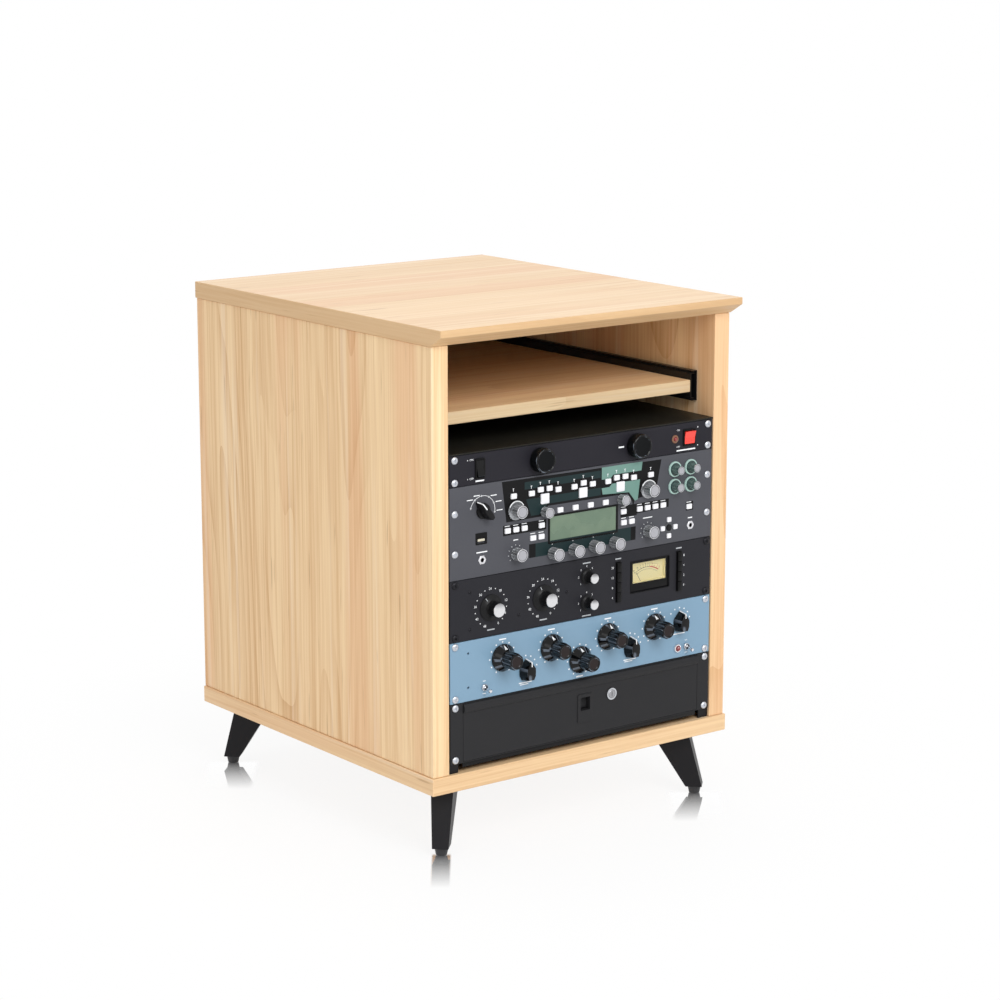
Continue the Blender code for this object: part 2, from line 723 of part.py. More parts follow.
def place_knob(name, plate, x, down, bm, material, turn=0.0):
    plate.shaft_hole(x, down)
    return finish_object(name, bm, material, plate.origin, (x, -down, 0), turn)


def cap_knob(name, plate, x, down, cap, reach, material, collar=None, sides=MEDIUM):
    """A gripped knob with a flat cap. A collar is the wider ring at its foot."""
    radius = cap / 2
    foot = collar / 2 if collar else radius
    foot_height = reach * 0.16 if collar else reach * 0.1
    profile = [
        *stub(),
        (foot, RUN),
        (foot, foot_height),
        (radius, foot_height + reach * 0.04),
        (radius * 0.97, reach - 0.0006),
        (radius * 0.88, reach),
        (0, reach),
    ]
    bm = bmesh.new()
    turned(bm, profile, sides)
    return place_knob(name, plate, x, down, bm, material)


def skirted_knob(name, plate, x, down, skirt, cap, reach, material):
    """A knob with a sloping skirt and a narrower capped top."""
    profile = [
        *stub(),
        (skirt / 2, RUN),
        (skirt / 2, reach * 0.08),
        (cap / 2 * 1.12, reach * 0.30),
        (cap / 2, reach * 0.42),
        (cap / 2, reach - 0.0008),
        (cap / 2 * 0.9, reach),
        (0, reach),
    ]
    bm = bmesh.new()
    turned(bm, profile, MEDIUM)
    return place_knob(name, plate, x, down, bm, material)


def large_knob(name, plate, x, down, material, turn):
    """A wide skirt, polished and dished, under a fluted grip."""
    grip_start = LARGE_KNOB_REACH * 0.40
    step = LARGE_KNOB_SIDES // FLUTES

    def flute(i, radius, height):
        return radius - FLUTE_DEPTH if height > grip_start and i % step == 0 else radius

    profile = [
        *stub(),
        (LARGE_KNOB_SKIRT / 2, RUN),
        (LARGE_KNOB_SKIRT / 2, LARGE_KNOB_REACH * 0.10),
        (LARGE_KNOB_SKIRT / 2 * 0.86, LARGE_KNOB_REACH * 0.22),
        (LARGE_KNOB_CAP / 2 * 0.92, LARGE_KNOB_REACH * 0.40),
        (LARGE_KNOB_CAP / 2, LARGE_KNOB_REACH * 0.44),
        (LARGE_KNOB_CAP / 2, LARGE_KNOB_REACH - 0.0010),
        (LARGE_KNOB_CAP / 2 * 0.88, LARGE_KNOB_REACH),
        (0, LARGE_KNOB_REACH),
    ]
    bm = bmesh.new()
    turned(bm, profile, LARGE_KNOB_SIDES, wave=flute)
    return place_knob(name, plate, x, down, bm, material, turn)


def pointer_knob(name, plate, x, down, material, turn):
    """A faceted knob whose outline comes to a point on one side. It points up at turn 0."""
    half = POINTER_KNOB_SIZE / 2
    outline = [
        (half * math.cos(math.radians(a)), half * math.sin(math.radians(a)))
        for a in (-112, -68, -25, 15, 48)
    ]
    outline += [(0, half * 1.12)] + [(-x_, y_) for x_, y_ in outline[:1:-1]]
    bm = bmesh.new()
    prism(bm, outline, RUN, POINTER_KNOB_REACH)
    rim = [v for v in bm.verts if v.co.z > RUN * 2]
    bmesh.ops.scale(bm, vec=(0.80, 0.80, 1), verts=rim)
    knob = place_knob(name, plate, x, down, bm, material, turn)
    join_stub(knob)
    return knob


def join_stub(knob):
    """Joins a knob's shaft to a body that isn't a plain body of revolution."""
    bm = bmesh.new()
    reach = RUN * 4
    profile = [(0, -KNOB_STUB_LENGTH), (KNOB_STUB_RADIUS, -KNOB_STUB_LENGTH), (KNOB_STUB_RADIUS, reach), (0, reach)]
    turned(bm, profile, COARSE)
    combine(knob, bm, "UNION")


def selector_knob(plate, x, down, material, turn):
    """A long pointer knob on a round foot, which points up at turn 0."""
    bm = bmesh.new()
    half = SELECTOR_WIDTH / 2
    nose = SELECTOR_LENGTH * 0.56
    tail = SELECTOR_LENGTH - nose
    outline = [
        (-half * 0.55, -tail),
        (half * 0.55, -tail),
        (half, -tail * 0.55),
        (half, half * 0.6),
        (half * 0.22, nose),
        (-half * 0.22, nose),
        (-half, half * 0.6),
        (-half, -tail * 0.55),
    ]
    prism(bm, outline, RUN, SELECTOR_REACH)
    rim = [v for v in bm.verts if v.co.z > RUN * 2]
    bmesh.ops.scale(bm, vec=(0.62, 0.92, 1), verts=rim)
    knob = place_knob("selector_knob", plate, x, down, bm, material, turn)
    bm = bmesh.new()
    foot = SELECTOR_WIDTH * 0.82
    profile = [(0, -KNOB_STUB_LENGTH), (KNOB_STUB_RADIUS, -KNOB_STUB_LENGTH), (KNOB_STUB_RADIUS, RUN * 1.5)]
    profile += [(foot, RUN * 1.5), (foot * 0.94, SELECTOR_REACH * 0.25), (0, SELECTOR_REACH * 0.25)]
    turned(bm, profile, MEDIUM)
    combine(knob, bm, "UNION")
    return knob


def rocker(name, plate, x, down, size, tilt, material):
    """A rocker that turns about a level axis in the faceplate, in a raised rim. Its front is a shallow V."""
    width, height = size
    half = height / 2
    ridge = ROCKER_RIM_HEIGHT
    tip = ridge + half * math.tan(ROCKER_TILT)
    outline = [
        (-half * 0.9, -ROCKER_DEPTH),
        (half * 0.9, -ROCKER_DEPTH),
        (half, tip),
        (0, ridge),
        (-half, tip),
    ]
    bm = bmesh.new()
    prism(bm, outline, -width / 2, width / 2, "X")
    bmesh.ops.rotate(bm, matrix=Matrix.Rotation(tilt, 3, "X"), verts=bm.verts)
    opening = (width + 2 * RUN, height + 2 * ROCKER_RUN)
    rim = (opening[0] + 2 * ROCKER_RIM, opening[1] + 2 * ROCKER_RIM)
    plate.raise_on_face(rounded_outline(*rim, ROCKER_RIM, 1, (x, -down)), ROCKER_RIM_HEIGHT)
    plate.cut_through(rounded_outline(*opening, RUN / 2, 1, (x, -down)))
    return finish_object(name, bm, material, plate.origin, (x, -down, 0))


# Power conditioner

def build_conditioner(face, finish, black, red):
    plate = Faceplate("conditioner_unit", CONDITIONER_ROW, CONDITIONER_UNITS, CONDITIONER_CASE_DEPTH, face, finish)
    middle = UNIT / 2
    for name, x in (("light_tube_left", -0.0836), ("light_tube_right", 0.0940)):
        cap, tube = LIGHT_CAP_RADIUS, LIGHT_TUBE_RADIUS
        profile = [
            (0, -LIGHT_TUBE_LENGTH),
            (tube, -LIGHT_TUBE_LENGTH),
            (tube, RUN),
            (cap, RUN),
            (cap, LIGHT_CAP_REACH - 0.0015),
            (cap - 0.0015, LIGHT_CAP_REACH),
            (cap * 0.80, LIGHT_CAP_REACH),
            (cap * 0.76, LIGHT_CAP_REACH - 0.0012),
            (0, LIGHT_CAP_REACH - 0.0012),
        ]
        bm = bmesh.new()
        turned(bm, profile, FINE)
        plate.shaft_hole(x, middle, LIGHT_TUBE_RADIUS, FINE)
        finish_object(name, bm, black, plate.origin, (x, -middle, 0))
    rocker("power_rocker", plate, -0.1887, middle, POWER_ROCKER, -ROCKER_TILT, black)
    rocker("outlet_rocker", plate, 0.1966, middle, OUTLET_ROCKER, ROCKER_TILT, red)
    plate.raise_on_face(circle_outline(LAMP_RADIUS, TINY, (0.1700, -middle)), LAMP_RADIUS * 0.8)
    plate.close()


# Amp modeller

def arch(first, pitch, count, row):
    """A run of buttons whose inner ones stand a little higher than its ends."""
    ends = (0, count - 1)
    return [(first + i * pitch, row - (0 if i in ends else BUTTON_ARCH)) for i in range(count)]


def line(first, pitch, count, row):
    return [(first + i * pitch, row) for i in range(count)]


def modeller_buttons():
    """(x, distance below the top, width, height) of each white button."""
    small = (
        arch(-0.0977, 0.0160, 4, BUTTON_TOP_ROW)
        + arch(-0.0203, 0.0168, 3, BUTTON_TOP_ROW)
        + arch(0.0420, 0.0161, 4, BUTTON_TOP_ROW)
        + line(-0.1298, 0.2525, 2, BUTTON_TOP_ROW)
        + line(-0.0460, SOFT_BUTTON_PITCH, 4, SOFT_BUTTON_ROW)
        + line(-0.1405, SIDE_BUTTON_PITCH, 3, SIDE_BUTTON_ROW)
        + line(-0.0797, 0.1511, 2, SIDE_BUTTON_ROW)
        + line(0.1020, SIDE_BUTTON_PITCH, 4, SIDE_BUTTON_ROW)
        + line(-0.0951, SIDE_BUTTON_PITCH, 2, LOW_BUTTON_ROW)
        + line(0.0721, SIDE_BUTTON_PITCH, 2, LOW_BUTTON_ROW)
        + [(0.1974, 0.08195)]
    )
    big = line(-0.0740, BIG_BUTTON_PITCH, 3, BIG_BUTTON_ROW)
    pad_x, pad_down = PAD_CENTRE
    pad = [
        (pad_x, pad_down - PAD_PITCH),
        (pad_x, pad_down + PAD_PITCH),
        (pad_x - PAD_PITCH, pad_down),
        (pad_x + PAD_PITCH, pad_down),
        (pad_x, pad_down),
    ]
    return (
        [(x, d, BUTTON_WIDTH, BUTTON_HEIGHT) for x, d in small]
        + [(x, d, BIG_BUTTON, BIG_BUTTON) for x, d in big]
        + [(x, d, PAD_BUTTON, PAD_BUTTON) for x, d in pad]
    )


def build_modeller(face, finish, black, silver):
    plate = Faceplate("modeller_unit", MODELLER_ROW, MODELLER_UNITS, MODELLER_CASE_DEPTH, face, finish)
    for x, down, width, height in modeller_buttons():
        plate.raise_button(x, down, width, height, BUTTON_REACH)

    for name, x, down in (("gain_knob", -0.1255, 0.04605), ("volume_knob", 0.1180, 0.04605)):
        cap_knob(name, plate, x, down, RING_KNOB_CAP, RING_KNOB_REACH, silver, RING_KNOB_COLLAR)
    for name, x, down in (("type_knob", -0.0740, 0.05455), ("value_knob", 0.0665, 0.05455)):
        cap_knob(name, plate, x, down, TYPE_KNOB_CAP, TYPE_KNOB_REACH, silver)
    for name, x, down in (("master_knob", -0.1255, 0.10855), ("browse_knob", 0.1180, 0.10855)):
        cap_knob(name, plate, x, down, RING_KNOB_CAP, RING_KNOB_REACH, silver)
    for i in range(4):
        x = -0.0597 + i * SOFT_KNOB_PITCH
        cap_knob(f"soft_knob_{i + 1}", plate, x, SOFT_KNOB_ROW, SOFT_KNOB_CAP, SOFT_KNOB_REACH, silver)
    selector_knob(plate, -0.1839, 0.03875, black, math.radians(SELECTOR_REST))
    build_effect_knobs(plate)

    display = (-0.0030, -0.08205)
    plate.pocket(rounded_outline(DISPLAY_WIDTH, DISPLAY_HEIGHT, 0.002, 1, display), DISPLAY_RECESS)
    for x, down in ((-0.1855, 0.10905), (0.2002, 0.11065)):
        plate.raise_on_face(circle_outline(JACK_RING_RADIUS, COARSE, (x, -down)), JACK_RING_HEIGHT)
        plate.pocket(circle_outline(JACK_HOLE_RADIUS, COARSE, (x, -down)), SOCKET_DEPTH)
    port = rounded_outline(PORT_WIDTH, PORT_HEIGHT, 0.001, 1, (-0.1865, -0.07995))
    plate.pocket(port, SOCKET_DEPTH)
    plate.close()


def build_effect_knobs(plate):
    """Four small knobs on translucent collars, part of the unit's own body."""
    radius = EFFECT_KNOB_CAP / 2
    start = -ROOT_DEPTH
    profile = [
        (0, start),
        (EFFECT_KNOB_COLLAR / 2, start),
        (EFFECT_KNOB_COLLAR / 2, EFFECT_COLLAR_REACH),
        (radius, EFFECT_COLLAR_REACH),
        (radius, EFFECT_KNOB_REACH),
        (0, EFFECT_KNOB_REACH),
    ]
    centre_x, centre_down = EFFECT_KNOBS_CENTRE
    for sx in (-0.5, 0.5):
        for sy in (-0.5, 0.5):
            x = centre_x + sx * EFFECT_KNOBS_PITCH[0]
            down = centre_down + sy * EFFECT_KNOBS_PITCH[1]
            turned(plate.raised, profile, EFFECT_KNOB_SIDES, (x, -down, 0))


# Compressor

def build_compressor(face, finish, silver):
    plate = Faceplate("compressor_unit", COMPRESSOR_ROW, COMPRESSOR_UNITS, COMPRESSOR_CASE_DEPTH, face, finish)
    wide = (COMPRESSOR_KNOB_SKIRT, COMPRESSOR_KNOB_CAP, COMPRESSOR_KNOB_REACH)
    narrow = (SMALL_COMPRESSOR_SKIRT, SMALL_COMPRESSOR_CAP, SMALL_COMPRESSOR_REACH)
    skirted_knob("input_knob", plate, -0.1696, 0.0472, *wide, silver)
    skirted_knob("output_knob", plate, -0.0756, 0.0472, *wide, silver)
    skirted_knob("attack_knob", plate, 0.0040, 0.0272, *narrow, silver)
    skirted_knob("release_knob", plate, 0.0040, 0.0661, *narrow, silver)

    for x in (0.0629, 0.1792):
        for i in range(4):
            down = plate.height / 2 + (i - 1.5) * SELECT_BUTTON_PITCH
            plate.raise_button(x, down, SELECT_BUTTON_WIDTH, SELECT_BUTTON_HEIGHT, SELECT_BUTTON_REACH)

    meter = (0.1216, -0.0379)
    plate.raise_on_face(rounded_outline(METER_FRAME_WIDTH, METER_FRAME_HEIGHT, 0.002, 1, meter), METER_FRAME_REACH)
    window_floor = METER_RECESS - METER_FRAME_REACH
    plate.pocket(rounded_outline(METER_WIDTH, METER_HEIGHT, 0.001, 1, meter), window_floor)
    plate.close()


# Equaliser

def build_equaliser(face, finish, black, steel):
    plate = Faceplate("equaliser_unit", EQUALISER_ROW, EQUALISER_UNITS, EQUALISER_CASE_DEPTH, face, finish)
    large = (
        ("low_boost_knob", -0.1487, 0.0343, 40),
        ("low_atten_knob", -0.0608, 0.0338, 10),
        ("bandwidth_knob", -0.0080, 0.0603, -20),
        ("high_boost_knob", 0.0443, 0.0341, 5),
        ("high_atten_knob", 0.1331, 0.0333, -15),
    )
    for name, x, down, turn in large:
        large_knob(name, plate, x, down, black, math.radians(turn))
    pointers = (
        ("low_frequency_knob", -0.1080, 0.0595, -30),
        ("high_frequency_knob", 0.0860, 0.0573, -40),
        ("atten_select_knob", 0.1812, 0.0333, -10),
    )
    for name, x, down, turn in pointers:
        pointer_knob(name, plate, x, down, black, math.radians(turn))
    for name, x, down in (("in_toggle", -0.1815, 0.0726), ("power_toggle", 0.1957, 0.0734)):
        build_toggle(name, plate, x, down, steel)
    jewel = (0.1782, -0.0738)
    bottom = -ROOT_DEPTH
    profile = [(0, bottom), (JEWEL_RADIUS, bottom), (JEWEL_RADIUS, JEWEL_REACH * 0.4)]
    profile += [(JEWEL_RADIUS * 0.6, JEWEL_REACH), (0, JEWEL_REACH)]
    turned(plate.raised, profile, COARSE, (*jewel, 0))
    plate.close()


def build_toggle(name, plate, x, down, steel):
    """A bat-handle toggle. Its ball turns in the bush that stands on the faceplate."""
    centre = (x, -down)
    plate.raise_on_face(circle_outline(BUSH_RADIUS, TINY, centre), BUSH_HEIGHT)
    plate.cut_through(circle_outline(BUSH_BORE, COARSE, centre))
    ball = BUSH_BORE * math.cos(math.pi / COARSE) - RUN
    profile = [
        (0, -ball),
        (ball * 0.75, -ball * 0.66),
        (ball, 0),
        (ball * 0.75, ball * 0.66),
        (BAT_RADIUS, ball * 0.95),
        (BAT_RADIUS * 1.1, BUSH_HEIGHT),
        (BAT_TIP_RADIUS, BAT_LENGTH - BAT_TIP_RADIUS),
        (BAT_TIP_RADIUS * 0.7, BAT_LENGTH),
        (0, BAT_LENGTH),
    ]
    bm = bmesh.new()
    turned(bm, profile, TINY)
    bmesh.ops.rotate(bm, matrix=Matrix.Rotation(-BAT_REST, 3, "X"), verts=bm.verts)
    finish_object(name, bm, steel, plate.origin, (x, -down, BUSH_HEIGHT - ball))


# Rack drawer

def build_drawer(face, black, silver):
    height = DRAWER_UNITS * UNIT
    origin = make_empty("drawer_face", (0, -DRAWER_ROW * UNIT, 0), face)
    top = -HOUSING_SHRINK / 2
    bottom = -height + HOUSING_SHRINK / 2
    build_housing(origin, top, bottom, black)
    body = make_empty("drawer_body", (0, 0, 0), origin)
    build_tray(body, top - HOUSING_SHEET - RUN, bottom + HOUSING_SHEET + RUN, black)
    build_latch(body, black)
    build_lock(body, silver)


def build_housing(origin, top, bottom, black):
    """A folded steel sleeve with two ears that screw to the rack rails."""
    half = HOUSING_WIDTH / 2
    bm = bmesh.new()
    box(bm, (-half, bottom, -HOUSING_DEPTH), (half, top, 0))
    housing = finish_object("drawer_housing", bm, black, origin)
    ears = bmesh.new()
    box(ears, (-PLATE_WIDTH / 2, bottom, -PLATE_THICKNESS), (PLATE_WIDTH / 2, top, 0))
    combine(housing, ears, "UNION")
    hollow = bmesh.new()
    inner = half - HOUSING_SHEET
    low = (-inner, bottom + HOUSING_SHEET, -HOUSING_DEPTH + HOUSING_SHEET)
    box(hollow, low, (inner, top - HOUSING_SHEET, PLATE_THICKNESS))
    for drop in screw_rows(DRAWER_UNITS):
        for side in (-1, 1):
            prism(hollow, screw_slot(side, drop), -2 * PLATE_THICKNESS, PLATE_THICKNESS)
    combine(housing, hollow)


def build_tray(body, top, bottom, black):
    """An open tray with side runners. Its front fills the housing's mouth, and its rolled top lip is the pull."""
    half = HOUSING_WIDTH / 2 - HOUSING_SHEET - RUN
    front = DRAWER_FRONT_THICKNESS
    lip = top - DRAWER_LIP_HEIGHT
    middle = (top + lip) / 2
    arc = [
        (DRAWER_LIP_REACH * math.cos(a), middle + DRAWER_LIP_HEIGHT / 2 * math.sin(a))
        for a in (math.radians(-90 + 30 * i) for i in range(7))
    ]
    outline = [(y, z) for z, y in arc] + [(top, -front), (bottom, -front), (bottom, 0)]
    bm = bmesh.new()
    prism(bm, outline, -half, half, "X")
    tray = finish_object("drawer_tray", bm, black, body)

    outer = HOUSING_WIDTH / 2 - HOUSING_SHEET - TRAY_SIDE_GAP
    floor = bottom + TRAY_FLOOR_GAP
    rear = -front - TRAY_DEPTH
    runner_middle = floor + TRAY_HEIGHT / 2
    bm = bmesh.new()
    box(bm, (-outer, floor, rear), (outer, floor + TRAY_HEIGHT, -front / 2))
    combine(tray, bm, "UNION")
    bm = bmesh.new()
    runner_half = HOUSING_WIDTH / 2 - HOUSING_SHEET - RUN
    low = (-runner_half, runner_middle - TRAY_RUNNER_HEIGHT / 2, rear)
    high = (runner_half, runner_middle + TRAY_RUNNER_HEIGHT / 2, rear + TRAY_RUNNER_LENGTH)
    box(bm, low, high)
    combine(tray, bm, "UNION")
    bm = bmesh.new()
    inner = outer - TRAY_SHEET
    low = (-inner, floor + TRAY_SHEET, rear + TRAY_SHEET)
    box(bm, low, (inner, floor + TRAY_HEIGHT + TRAY_SHEET, -front))
    combine(tray, bm)

    additions = bmesh.new()
    plate = rounded_outline(LATCH_PLATE_WIDTH, LATCH_PLATE_HEIGHT, 0.0015, 1, (LATCH_X, -LATCH_DOWN))
    prism(additions, plate, -front / 2, LATCH_PLATE_REACH)
    collar = circle_outline(LOCK_COLLAR_RADIUS, MEDIUM, (LOCK_X, -LOCK_DOWN))
    prism(additions, collar, -front / 2, LOCK_COLLAR_REACH)
    combine(tray, additions, "UNION")
    window_y = -LATCH_DOWN + LATCH_WINDOW_UP
    case_width = LATCH_WINDOW_WIDTH + 2 * LATCH_CASE_WALL
    case_height = LATCH_WINDOW_HEIGHT + 2 * LATCH_CASE_WALL
    case = rounded_outline(case_width, case_height, LATCH_CASE_WALL, 1, (LATCH_X, window_y))
    additions = bmesh.new()
    prism(additions, case, -front - LATCH_CASE_DEPTH, -front * 0.8)
    combine(tray, additions, "UNION")
    cuts = bmesh.new()
    window = rounded_outline(LATCH_WINDOW_WIDTH, LATCH_WINDOW_HEIGHT, RUN, 1, (LATCH_X, window_y))
    prism(cuts, window, -2 * (front + LATCH_CASE_DEPTH), 3 * front)
    plug = circle_outline(LOCK_PLUG_RADIUS + SHAFT_RUN, MEDIUM, (LOCK_X, -LOCK_DOWN))
    prism(cuts, plug, -3 * front, 3 * front)
    combine(tray, cuts)


def build_latch(body, black):
    """The finger lever inside the latch's case. It is a bell crank on a barrel along its lower edge: pulled forward
    at its top, it lifts the tail behind it."""
    barrel = LATCH_BARREL_RADIUS
    thick = LATCH_LEVER_THICKNESS
    length = LATCH_WINDOW_HEIGHT - 2 * RUN - barrel
    underside = [
        (barrel * math.cos(a), barrel * math.sin(a))
        for a in (math.radians(270 - 30 * i) for i in range(7))
    ]
    outline = underside + [
        (length, barrel),
        (length, barrel - thick),
        (thick, barrel - thick),
        (thick, -LATCH_TAIL),
        (0, -LATCH_TAIL),
    ]
    bm = bmesh.new()
    width = LATCH_WINDOW_WIDTH / 2 - RUN
    prism(bm, outline, -width, width, "X")
    pivot_y = -LATCH_DOWN + LATCH_WINDOW_UP - LATCH_WINDOW_HEIGHT / 2 + RUN + barrel
    finish_object("drawer_latch", bm, black, body, (LATCH_X, pivot_y, -LATCH_PIVOT_DEPTH))


def build_lock(body, silver):
    """The lock's plug, which turns in its collar and carries the cam behind the drawer front."""
    radius = LOCK_PLUG_RADIUS
    profile = [
        (0, -LOCK_BODY_LENGTH),
        (radius * 0.6, -LOCK_BODY_LENGTH),
        (radius * 0.6, -DRAWER_FRONT_THICKNESS - 2 * RUN),
        (radius, -DRAWER_FRONT_THICKNESS - RUN),
        (radius, LOCK_PLUG_REACH - 0.0005),
        (radius - 0.0005, LOCK_PLUG_REACH),
        (0, LOCK_PLUG_REACH),
    ]
    bm = bmesh.new()
    turned(bm, profile, MEDIUM)
    lock = finish_object("drawer_lock", bm, silver, body, (LOCK_X, -LOCK_DOWN, 0))
    bm = bmesh.new()
    cam_front = -LOCK_BODY_LENGTH + LOCK_CAM_THICKNESS * 1.5
    cam = [
        (-radius * 0.8, -radius * 0.8),
        (radius * 0.8, -radius * 0.8),
        (radius * 0.5, LOCK_CAM_LENGTH),
        (-radius * 0.5, LOCK_CAM_LENGTH),
    ]
    prism(bm, cam, cam_front - LOCK_CAM_THICKNESS, cam_front)
    combine(lock, bm, "UNION")
    bm = bmesh.new()
    half_height = radius * 0.55
    low = (-KEY_SLIT / 2, -half_height, LOCK_PLUG_REACH - KEY_SLIT_DEPTH)
    box(bm, low, (KEY_SLIT / 2, half_height, LOCK_PLUG_REACH + KEY_SLIT_DEPTH))
    combine(lock, bm)


def main():
    clear_scene()
    maple = make_material("maple laminate", (0.78, 0.55, 0.32), 0.45)
    black_panel = make_material("black panel", (0.015, 0.015, 0.016), 0.6)
    black_steel = make_material("black steel", (0.016, 0.016, 0.018), 0.4)
    rubber = make_material("black rubber", (0.012, 0.012, 0.012), 0.7)
    black_plastic = make_material("black plastic", (0.010, 0.010, 0.011), 0.3)
    polished_steel = make_material("polished steel", (0.62, 0.64, 0.66), 0.25, 1.0)
    conditioner_blue = make_material("blue-black paint", (0.022, 0.021, 0.035), 0.45)
    modeller_grey = make_material("dark grey paint", (0.050, 0.050, 0.056), 0.5)
    compressor_black = make_material("black anodised", (0.014, 0.014, 0.017), 0.4)
    equaliser_blue = make_material("light blue paint", (0.20, 0.38, 0.54), 0.4)
    silver_knob = make_material("silver knob", (0.45, 0.45, 0.46), 0.3, 0.6)
    red_plastic = make_material("red lens", (0.55, 0.02, 0.01), 0.25)

    build_boards(maple, black_panel)
    build_legs(black_steel, rubber)
    build_shelf(maple, black_steel)
    build_rails(black_steel)

    face = make_empty("rack_face", (0, FACE, RACK_TOP))
    face.rotation_euler = (math.pi / 2, 0, 0)
    build_conditioner(face, conditioner_blue, black_plastic, red_plastic)
    build_modeller(face, modeller_grey, black_plastic, silver_knob)
    build_compressor(face, compressor_black, silver_knob)
    build_equaliser(face, equaliser_blue, black_plastic, polished_steel)
    build_drawer(face, black_steel, polished_steel)


main()
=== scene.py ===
import math
import bmesh
import bpy
from mathutils import Matrix, Vector


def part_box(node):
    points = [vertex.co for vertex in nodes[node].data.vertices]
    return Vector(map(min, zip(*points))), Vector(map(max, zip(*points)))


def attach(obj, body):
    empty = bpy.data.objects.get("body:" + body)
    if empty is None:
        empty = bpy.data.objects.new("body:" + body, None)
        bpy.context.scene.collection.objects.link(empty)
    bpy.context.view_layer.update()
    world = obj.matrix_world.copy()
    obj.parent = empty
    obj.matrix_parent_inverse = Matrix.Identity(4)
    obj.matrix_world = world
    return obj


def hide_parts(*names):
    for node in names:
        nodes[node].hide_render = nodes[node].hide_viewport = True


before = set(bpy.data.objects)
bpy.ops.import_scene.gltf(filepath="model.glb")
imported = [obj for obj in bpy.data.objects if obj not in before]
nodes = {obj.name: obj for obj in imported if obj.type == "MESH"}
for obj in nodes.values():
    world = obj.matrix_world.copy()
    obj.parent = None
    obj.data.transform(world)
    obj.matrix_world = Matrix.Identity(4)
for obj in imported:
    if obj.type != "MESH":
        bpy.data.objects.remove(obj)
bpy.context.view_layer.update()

# Studio rack table: camera, light and floor first, then the cabinet, then each piece of gear from the top down.
# Metres throughout. "down" is a distance below the top of the rack, and x is measured from the middle.

rack = {
    "unit": 0.04445,
    "plateHalf": 0.2413,
    "plateThickness": 0.003,
    "plateGap": 0.0008,  # between one faceplate and the next
    "screwColumn": 0.23255,
    "screwRows": {1: (0.00635, 0.0381), 2: (0.00635, 0.08255), 3: (0.0381, 0.09525)},
    "slot": (0.01, 0.0068, 0.0033),
    "caseWidth": 0.4364,
    "caseInset": 0.0016,  # from a unit's edge to its case
    "lid": (0.438, 0.003, 0.012),  # its width and thickness, and how much shorter than the case it is
}
railLow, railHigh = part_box("rack_rail_left")
rackTop = railHigh.z
face = railLow.y - rack["plateThickness"] - 0.0003  # the plane of all faceplates


def faceMatrix(x, down, turn=0.0, out=0.0):
    # local x is right, y is up, z comes out of the faceplate; turn is in degrees
    place = Matrix.Translation((x, face - out, rackTop - down))
    return place @ Matrix.Rotation(math.pi / 2, 4, "X") @ Matrix.Rotation(math.radians(turn), 4, "Z")


onFace = faceMatrix(0, 0)
finish = {}  # filled below, once the shader groups are there


# Small helpers for meshes

def at(x, down):
    return Matrix.Translation((x, -down, 0))


def spun(points, steps=48):
    # a chain of edges in the XZ plane, spun about Z
    bm = bmesh.new()
    verts = [bm.verts.new((radius, 0, height)) for radius, height in points]
    edges = [bm.edges.new(pair) for pair in zip(verts, verts[1:])]
    bmesh.ops.spin(
        bm, geom=edges + verts, cent=(0, 0, 0), axis=(0, 0, 1), angle=math.tau, steps=steps, use_merge=True
    )
    bmesh.ops.remove_doubles(bm, verts=bm.verts, dist=1e-6)
    bmesh.ops.recalc_face_normals(bm, faces=bm.faces)
    return bm


def block(bm, size, centre=(0, 0, 0)):
    matrix = Matrix.Translation(centre) @ Matrix.Diagonal((*size, 1))
    return bmesh.ops.create_cube(bm, size=1, matrix=matrix)["verts"]


def roundEdges(bm, edges, width, segments=3):
    bmesh.ops.bevel(bm, geom=edges, offset=width, affect="EDGES", segments=segments, profile=0.5, material=-1)


def roundAbove(bm, level, width, segments=2):
    roundEdges(bm, [e for e in bm.edges if all(v.co.z > level for v in e.verts)], width, segments)


def eased(size, centre, width):
    # a small block with rounded edges
    bm = bmesh.new()
    block(bm, size, centre)
    roundEdges(bm, bm.edges[:], width, 2)
    return bm


def keycap(size, height, corner=0.001, crown=0.0004):
    # a moulded button: round in plan, with eased top edges
    bm, sink = bmesh.new(), 0.0003
    block(bm, (*size, height + sink), (0, 0, (height - sink) / 2))
    upright = [e for e in bm.edges if abs(e.verts[0].co.z - e.verts[1].co.z) > height / 2]
    roundEdges(bm, upright, corner, 4)
    roundAbove(bm, height - 1e-6, crown, 3)
    return bm


def disc(radius, start, end, sides=32):
    bm = bmesh.new()
    bmesh.ops.create_cone(
        bm, cap_ends=True, segments=sides, radius1=radius, radius2=radius, depth=end - start,
        matrix=Matrix.Translation((0, 0, (start + end) / 2)),
    )
    return bm


def pushUp(bm, rise):
    # gives flat faces a thickness
    pushed = bmesh.ops.extrude_face_region(bm, geom=bm.faces[:])["geom"]
    bmesh.ops.translate(bm, vec=(0, 0, rise), verts=[g for g in pushed if isinstance(g, bmesh.types.BMVert)])
    bmesh.ops.recalc_face_normals(bm, faces=bm.faces)
    return bm


def outlinePlate(points, start, end):
    bm = bmesh.new()
    bm.faces.new([bm.verts.new((x, y, start)) for x, y in points])
    return pushUp(bm, end - start)


def roundedRect(width, height, radius, steps=4, centre=(0, 0)):
    points = []
    for quarter, (sx, sy) in enumerate(((1, 1), (-1, 1), (-1, -1), (1, -1))):
        for i in range(steps + 1):
            angle = math.radians(90 * quarter + 90 * i / steps)
            x = sx * (width / 2 - radius) + radius * math.cos(angle)
            y = sy * (height / 2 - radius) + radius * math.sin(angle)
            points.append((centre[0] + x, centre[1] + y))
    return points


def plate(width, height, radius, start, end, steps=4, centre=(0, 0)):
    return outlinePlate(roundedRect(width, height, radius, steps, centre), start, end)


